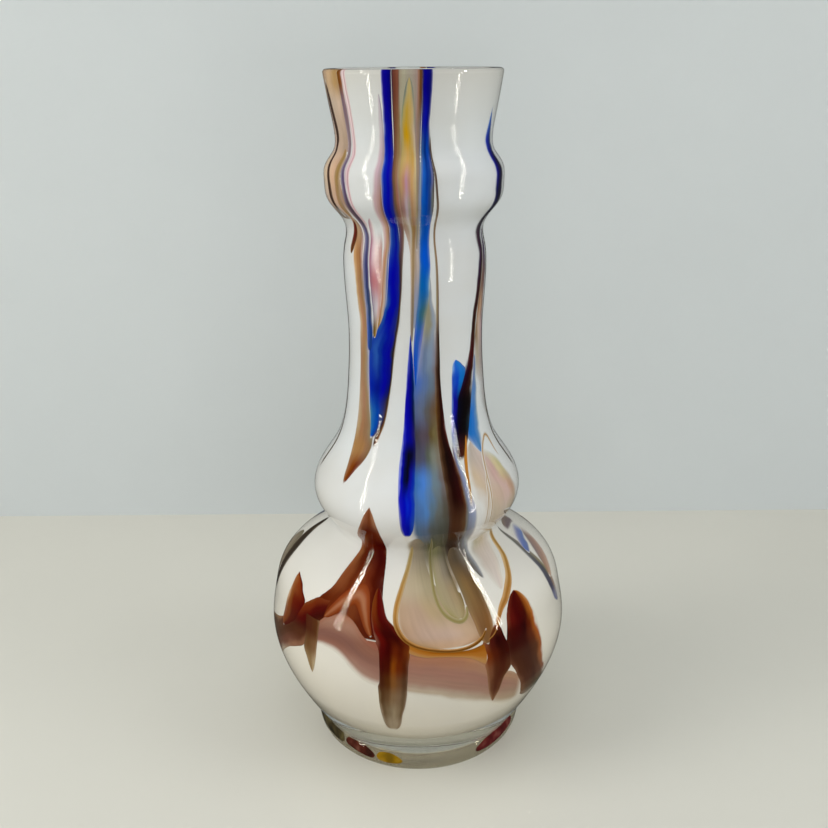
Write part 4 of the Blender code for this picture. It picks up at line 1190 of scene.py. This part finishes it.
band("amber_thread_back", "amber_glass", [
    (RIM, 170, 175.6), (285, 170.6, 175.2), (272, 171, 175), (258, 170.6, 174.6), (244, 170, 173.6),
    (228, 168.6, 171.8), (214, 167, 169.4), (204, 165, 167),
], streak_glass("amber brown streak", {
    290: "0 #4A2A24 40 #70401C 70 #8A5A24 100 #A0886000",
    256: "0 #503430 40 #7E4E2A 80 #8E6A40 100 #A0886000",
    220: "0 #30242C 50 #6A4830 100 #90806000",
}), 3, (0, 8))

band("honey_feather_back", "honey_glass", [
    (297.4, 181, 183), (292, 178.4, 185.2), (284, 176.6, 187), (274, 175.8, 187.6), (262, 175.4, 187),
    (252, 175.6, 185.4), (244, 176, 183), (234, 175.8, 180.6), (222, 175.2, 178.8), (210, 174.2, 177),
    (199, 173.4, 175),
], streak_glass("honey feather with an orange heart", {
    292: "0 #6A6E66 20 #7E7E66 50 #A89460 80 #7E8070 100 #6A6E66",
    280: "0 #70705E 15 #968A50 45 #B08A28 70 #AA9458 90 #8E8A74 100 #6A6E66",
    266: "0 #7E7048 20 #A88A58 45 #B08650 60 #A87C70 85 #AC9870 100 #7C766A",
    252: "0 #7A6450 30 #9A7E78 55 #A4808C 80 #A88A60 100 #807868",
    236: "0 #90806000 40 #94806A 70 #80684A 100 #90857400",
    205: "0 #A2999400 50 #74645000 100 #76716600",
}, soft=(0.03, 0.03), wobble=0.06), 2, (3, 6), 200)

band("azure_stripe_back", "azure_glass", [
    (RIM, 192.6, 199.4), (284, 192.4, 199.6), (270, 192, 200), (256, 191.4, 199.6), (242, 190.4, 199),
    (228, 188.4, 198.6), (214, 185.4, 197), (200, 182, 194.6), (186, 178.6, 192), (172, 175.6, 190.4),
    (158, 173.4, 188.6), (146, 172.6, 187), (134, 174, 186), (124, 176, 185.4), (115.6, 179, 183.4),
], streak_glass("azure streak, inky low down", {
    292: "0 #9EA0A600 20 #1A1C7A 60 #04047C 90 #1C1C58 100 #8A8A9800",
    268: "0 #8090A000 20 #1C4A98 50 #0438A0 80 #143A80 100 #7A6A6000",
    236: "0 #80A0B000 25 #1058A8 55 #0048B6 85 #1650A8 100 #9A9A9A00",
    205: "0 #70909000 25 #2A66A0 50 #1450A8 80 #2A4A90 100 #8A867A00",
    178: "0 #8C93C8 25 #10209A 55 #040888 85 #0A1460 100 #5A5A6800",
    150: "0 #7078C0 20 #04048C 45 #04061C 70 #060A60 90 #2A4A8A 100 #6A7A9000",
    126: "0 #7A80B0 25 #0A0A98 60 #001CA0 100 #40609A00",
}, soft=(0.04, 0.06)), 3, (0, 6), 220)

band("violet_band_back", "violet_glass", [
    (284, 126.6, 128), (276, 124.4, 131), (266, 123, 132.6), (254, 122.4, 131.6), (240, 121.8, 130.4),
    (226, 121, 129.6), (212, 119.6, 128.4), (198, 117, 126.4), (186, 112.6, 124.4), (176, 106.8, 121.6),
    (166, 103.6, 117.4), (156, 102, 111.4), (147, 102.6, 106),
], streak_glass("violet glass, drawn thin", {
    278: "0 #90A0C000 40 #20408A 100 #90A0A800",
    262: "0 #777AB300 25 #10106A 60 #1C142A 100 #605A6800",
    232: "0 #79747800 30 #38222E 65 #2A1820 100 #6A504000",
    198: "0 #B4ADAB00 30 #2E1410 60 #240A08 100 #6A584000",
    176: "0 #8090B000 25 #0C0C3A 60 #0A0410 100 #40384000",
    156: "0 #7080A000 40 #141020 100 #30283000",
}, soft=(0.06, 0.06)), 3, (6, 5), 220)

band("tan_drip_back", "tan_glass", [
    (248, 218.6, 225), (238, 216.8, 226.6), (226, 215, 226), (212, 214.4, 225.4), (196, 213, 224.6),
    (180, 211.6, 224.4), (166, 209.6, 224.6), (154, 206.4, 223.8), (144, 204.6, 221.6),
    (136, 206, 218.4), (130, 209.6, 214.6),
], streak_glass("tan drip with a rose edge", {
    242: "0 #80706000 30 #9A7452 70 #A08468 100 #88727200",
    222: "0 #C6B69F00 25 #A8875E 50 #926C4C 75 #8E6A5C 100 #8B828E00",
    188: "0 #9A846C00 25 #8A6850 50 #8B6A46 78 #90746A 100 #86869400",
    160: "0 #A8907A00 20 #98805E 45 #8B6345 75 #7D5F44 100 #80807400",
    142: "0 #90786000 20 #7D5434 50 #6A340E 80 #5D2A10 100 #8A6A5A00",
}, soft=(0.06, 0.06)), 1, (5, 6), 200)

band("pink_leaf_back", "pink_glass", [
    (262, 238.4, 242), (252, 235.6, 244), (240, 232.6, 245), (226, 231.4, 246), (212, 232.4, 246.4),
    (200, 235, 246), (190, 238.4, 244),
], streak_glass("rose leaf with an umber edge", {
    252: "0 #8A605A 30 #B0888C 70 #C8B4B000 100 #C8BAB000",
    230: "0 #6A4A50 15 #925E68 45 #A87478 75 #B89490 100 #9A7060",
    204: "0 #6A5448 30 #9A8084 70 #B0948E 100 #8A664A",
}, soft=(0.05, 0.08)), 2, (8, 6))

band("oxblood_waist_back", "oxblood_glass", [
    (127.6, 157.6, 159.2), (123, 154, 162), (118, 151, 164), (112, 148.4, 165), (106, 146.6, 165.4),
    (100, 144.8, 166), (94, 142.6, 166.6), (89, 141, 166), (84.6, 142, 163),
], streak_glass("oxblood with a smoky edge", {
    122: "0 #90705A 30 #724420 70 #5E2E14 100 #90785C",
    108: "0 #90684800 20 #5E2A10 50 #440804 85 #400300 100 #6A3C28",
    94: "0 #8A5A2A00 16 #7A4420 40 #4E1204 70 #440402 90 #6A3010 100 #9A704A",
}, soft=(0.05, 0.05)), 2, (4, 4), 180)

band("oxblood_drip_back", "oxblood_glass", [
    (94, 143.6, 158), (88, 142.4, 160), (80, 143.4, 158.6), (72, 144.4, 158), (64, 145, 158),
    (56, 145.8, 158), (48, 146.8, 157.4), (41, 148, 156.2), (34, 150.2, 154),
], streak_glass("oxblood drip, smoky low down", {
    86: "0 #7A4A2A 15 #5A1808 45 #3A0200 80 #4A0A04 100 #80502C",
    72: "0 #6A3A20 15 #440C04 40 #420E04 55 #84460E 72 #5A2206 100 #6A4A34",
    56: "0 #7A603E 15 #4E3214 50 #7A5830 85 #5E4428 100 #886C54",
    40: "0 #94846A 20 #705838 60 #8C7656 100 #A0907400",
}, soft=(0.05, 0.05), wobble=0.06), 5, (4, 7), 180)

band("mauve_band_back", "mauve_glass", [
    (157, 74, 157, 52), (164, 80, 164, 52), (171, 84, 171, 53), (178, 86, 178, 55),
    (185, 85.4, 185, 57), (192, 82, 192, 59), (199, 77, 199, 60), (206, 71, 206, 60),
], streak_glass("mauve haze behind", {
    84: "0 #9A644000 30 #8E6A58 70 #84604F 100 #A69B8400",
    66: "0 #9A806800 30 #8A6557 70 #94786A 100 #A69B8400",
    54: "0 #A08C7A00 40 #987E6C 100 #B0A48C00",
}, soft=(0.08, 0.14), ends=(0.04, 0.08), wobble=0.06), 1, (6, 8), 160)

band("amber_leaf_back", "amber_glass", [
    (97, 204, 206.4), (92, 200, 208.8), (86, 198, 212), (79, 197, 214.6), (71, 197.4, 216),
    (63, 199.4, 217), (55, 202, 216.4), (48, 205.4, 213.4),
], streak_glass("amber leaf with an oxblood side", {
    90: "0 #B08A5000 30 #A8681C 70 #8A4A12 100 #6A2A0A",
    78: "0 #B8946400 20 #A86E28 50 #8E4E12 80 #4E1004 100 #5A2410",
    64: "0 #B09C7800 25 #8E6434 55 #6E4420 85 #4A2414 100 #7A604800",
    51: "0 #A8988000 50 #80684A 100 #8A786000",
}, soft=(0.06, 0.06)), 4, (5, 6))

band("oxblood_leaf_back", "oxblood_glass", [
    (88, 116, 118.6), (84, 111.6, 122), (78, 109.4, 124.4), (70, 107.4, 125.4), (62, 107.4, 124.8),
    (54, 109.4, 122.6), (47, 112.6, 120.6), (42, 115.2, 118.6),
], streak_glass("oxblood leaf, smoky low down", {
    84: "0 #8A4A1A 30 #5A1404 60 #400000 100 #6A2A14",
    74: "0 #B0804A00 15 #96581C 35 #4E1002 65 #300001 100 #501A10",
    60: "0 #A8885C00 20 #80552E 50 #472A1A 85 #4A2E20 100 #8A705C00",
    46: "0 #A8988000 50 #6E5844 100 #9A8A7400",
}, soft=(0.05, 0.05)), 4, (4, 6))

band("slate_veil_back", "slate_glass", [
    (100, 234, 238), (94, 231.4, 242.6), (86, 229, 246), (78, 228.6, 247), (70, 230.4, 247),
    (62, 233.6, 245), (56, 237, 242),
], streak_glass("slate and azure veil", {
    92: "0 #8E8C8C00 30 #5C6C94 60 #5A5C70 100 #8A827A00",
    78: "0 #90908C00 25 #66707E 50 #4E6A9C 75 #7A6A64 100 #9A8C7C00",
    62: "0 #A09C9000 50 #78766E 100 #A0988A00",
}, soft=(0.1, 0.1)), 2, (6, 8))

# ---------------------------------------------------------------- chips in the foot


def foot_radius(height, depth):
    """Radius in the foot, a plain disc: the foot's radius less the depth."""
    return FOOT_RADIUS - depth


CHIP_FACE = 2.9       # depth in mm of a chip's outer face in the foot


def chip(name, slot, ribs, material):
    """A flake of colour in the foot's side, through ribs of (azimuth, top, bottom)."""
    ribs = [(a, top, a, low) for a, top, low in ribs]
    return band(name, slot, ribs, material, 0, (2.5, 2.5), 60, radius=foot_radius,
                face=CHIP_FACE)


def chip_glass(name, dark, main, bright):
    """Coloured glass flake, mottled over about 6 mm from thick to thin."""
    material, tree = new_material(name)
    place = node(tree, "TexCoord").outputs["Object"]
    flow = node(tree, "TexNoise", {"Vector": place, "Scale": 1 / 0.006, "Detail": 4.0})
    colour = node(tree, "ValToRGB", {0: flow.outputs[0]}, lift=LIFT, stops=[
        (0.34, dark), (0.5, main), (0.68, bright)])
    shader = node(tree, "BsdfPrincipled", {
        "Base Color": colour.outputs[0], "Roughness": 0.5, "IOR": SODA,
        "Specular IOR Level": 0.0})
    show(tree, shader.outputs[0])
    return material


chip("foot_chip_olive", "olive_glass",
     [(-75, 6.4, 2.8), (-68, 7.2, 2), (-57, 7.4, 1.8), (-46, 6, 2.4)],
     chip_glass("olive flake", "#231E10", "#3A3220", "#5E5638"))
chip("foot_chip_ruby_left", "ruby_glass",
     [(-45, 5.8, 3.2), (-39, 6.6, 2.6), (-32, 6.4, 2), (-25, 5, 2)],
     chip_glass("ruby flake, browner", "#24120C", "#4A2018", "#70483C"))
chip("foot_chip_yellow", "honey_glass",
     [(-24, 5.4, 2.4), (-20, 6.2, 1.8), (-15, 6.2, 1.8), (-9, 4.8, 2.4)],
     chip_glass("yellow flake", "#6E540E", "#8C6C10", "#947A38"))
chip("foot_chip_ruby_right", "ruby_glass",
     [(33, 4.6, 2.4), (40, 6, 2), (52, 6.8, 2.2), (66, 6.2, 3)],
     chip_glass("ruby flake", "#2A0E0C", "#54181A", "#7E4A44"))
chip("foot_chip_cobalt_back", "cobalt_glass",
     [(140, 6.4, 2.6), (149, 7, 2), (158, 6.6, 1.8), (168, 5.2, 2.4)],
     chip_glass("cobalt flake", "#04044A", "#0A1490", "#2A50A8"))
chip("foot_chip_amber_back", "amber_glass",
     [(205, 5.8, 2.4), (213, 6.8, 1.8), (221, 6.6, 2), (230, 5, 2.6)],
     chip_glass("amber flake", "#6A3408", "#A8681C", "#B89050"))

# ---------------------------------------------------------------- stage and lights

WALL_AT = 0.2         # m behind the vase


def sheet_of(name, corners, material):
    """One flat face of the stage."""
    mesh = bpy.data.meshes.new(name)
    mesh.from_pydata(corners, [], [tuple(range(len(corners)))])
    mesh.materials.append(material)
    mesh.update()
    flat = bpy.data.objects.new(name, mesh)
    bpy.context.collection.objects.link(flat)
    return flat


table = sheet_of("table", [(-3, -3, 0), (3, -3, 0), (3, 3, 0), (-3, 3, 0)],
                 plain("pale painted table", "#CFCDC3", 0.35, 0.015))
table.visible_glossy = False
wall = sheet_of("wall", [(-0.9, WALL_AT, 0), (0.9, WALL_AT, 0), (0.9, WALL_AT, 0.9),
                         (-0.9, WALL_AT, 0.9)],
                plain("pale painted wall", "#CDD2D2", 0.6, 0.02, one_sided=True))
wall.visible_glossy = False


def lamp(name, place, aim, size, power, colour="#FFFFFF"):
    """A soft rectangular lamp that faces a point."""
    data = bpy.data.lights.new(name, "AREA")
    data.shape = "RECTANGLE"
    data.size, data.size_y = size
    data.energy = power
    data.color = linear(colour)[:3]
    thing = bpy.data.objects.new(name, data)
    away = np.array(place, float) - np.array(aim, float)
    yaw = math.atan2(away[0], -away[1])
    pitch = math.atan2(math.hypot(away[0], away[1]), away[2])
    thing.rotation_euler = (pitch, 0, yaw)
    thing.location = place
    bpy.context.collection.objects.link(thing)
    return thing


# A leaning row of small lights to each side, as (y, height) in m.
CARD_ROW = [(-0.33, 0.07), (-0.30, 0.15), (-0.285, 0.28), (-0.25, 0.43), (-0.13, 0.66),
            (0.02, 0.85), (0.09, 0.96)]
CARD_X = 0.5          # m from the vase's axis
CARD_GLOW = 55
CARD_GAP = 0.025      # m between the columns
CARD_HALF = 0.0032, 0.0040    # half a card's side in m at the table, and its growth per m up


def light_cards(name, side):
    """Three columns of small bright squares along the row, seen only as glints."""
    row = smooth(CARD_ROW, 32)
    corners = []
    for column in (-1, 0, 1):
        for y, height in row:
            half = CARD_HALF[0] + CARD_HALF[1] * height
            for across, up in ((-1, -1), (1, -1), (1, 1), (-1, 1)):
                corners.append((side * CARD_X, y + CARD_GAP * column + half * across,
                                height + half * up))
    mesh = bpy.data.meshes.new(name)
    faces = np.arange(len(corners)).reshape(-1, 4)
    mesh.from_pydata(corners, [], faces.tolist())
    material, tree = new_material(name)
    glow = node(tree, "Emission", {"Color": linear("#FFF6E6"), "Strength": CARD_GLOW})
    show(tree, glow.outputs[0])
    material.cycles.emission_sampling = "NONE"
    mesh.materials.append(material)
    mesh.update()
    cards = bpy.data.objects.new(name, mesh)
    bpy.context.collection.objects.link(cards)
    for ray in ("camera", "diffuse", "transmission", "shadow", "volume_scatter"):
        setattr(cards, "visible_" + ray, False)


light_cards("light_cards_left", -1)
light_cards("light_cards_right", 1)
for lamp_name, place, size, power, tint in (
        ("soft_overhead", (0, -0.2, 1.7), (1.6, 1.2), 6.8, "#FFFFFF"),
        ("soft_left", (-0.95, -0.25, 0.75), (0.5, 0.9), 7.2, "#FFFCF6"),
        ("soft_right", (0.95, -0.25, 0.75), (0.5, 0.9), 3.9, "#F6FAFF"),
        ("soft_low", (0.1, -1.0, 0.16), (0.9, 0.25), 3.0, "#FFFFFF")):
    lamp(lamp_name, place, (0, 0, 0.12), size, power, tint).visible_glossy = False

# The room is brighter overhead and to both sides than behind the camera, and dim in
# reflections, so that the colours stay deep under the gloss.
EVEN = 0.22           # brightness of the room all round
SIDES = 0.26          # added to both sides
OVERHEAD = 0.20       # added overhead
REFLECTED = 0.12      # share that is left in reflections
world = bpy.data.worlds.new("soft studio")
SCENE.world = world
world.use_nodes = True
sky = world.node_tree
sky.nodes.clear()
direction = node(sky, "SeparateXYZ", {0: node(sky, "TexCoord").outputs["Generated"]})
sideways = node(sky, "Math", {0: direction.outputs[0]}, operation="ABSOLUTE")
upward = node(sky, "Math", {0: direction.outputs[2], 1: 0.0}, operation="MAXIMUM")
level = node(sky, "Math", {0: sideways.outputs[0], 1: SIDES, 2: EVEN},
             operation="MULTIPLY_ADD")
level = node(sky, "Math", {0: upward.outputs[0], 1: OVERHEAD, 2: level.outputs[0]},
             operation="MULTIPLY_ADD")
glossy = node(sky, "Math", {
    0: node(sky, "LightPath").outputs["Is Glossy Ray"], 1: REFLECTED - 1, 2: 1.0},
    operation="MULTIPLY_ADD")
level = node(sky, "Math", {0: level.outputs[0], 1: glossy.outputs[0]}, operation="MULTIPLY")
back = node(sky, "Background", {"Color": linear("#F4F7F8"), "Strength": level.outputs[0]})
node(sky, "OutputWorld", {"Surface": back.outputs[0]})

# ---------------------------------------------------------------- camera

SENSOR = 36.0         # mm
LENS = 39.13          # mm
EYE = (0, -0.3719, 0.3050)
DOWN = 21.81          # degrees below level
LEFT = 0.145          # degrees to the left
ROLL = -0.545         # degrees, turned about the line of sight

data = bpy.data.cameras.new("camera")
camera = bpy.data.objects.new("camera", data)
bpy.context.collection.objects.link(camera)
data.sensor_width = SENSOR
data.lens = LENS
data.clip_start = 0.01
camera.location = EYE
camera.rotation_mode = "XYZ"
camera.rotation_euler = (
    Matrix.Rotation(math.radians(LEFT), 3, "Z")
    @ Matrix.Rotation(math.radians(90 - DOWN), 3, "X")
    @ Matrix.Rotation(math.radians(ROLL), 3, "Z")
).to_euler()
SCENE.camera = camera
SCENE.view_settings.view_transform = "Standard"
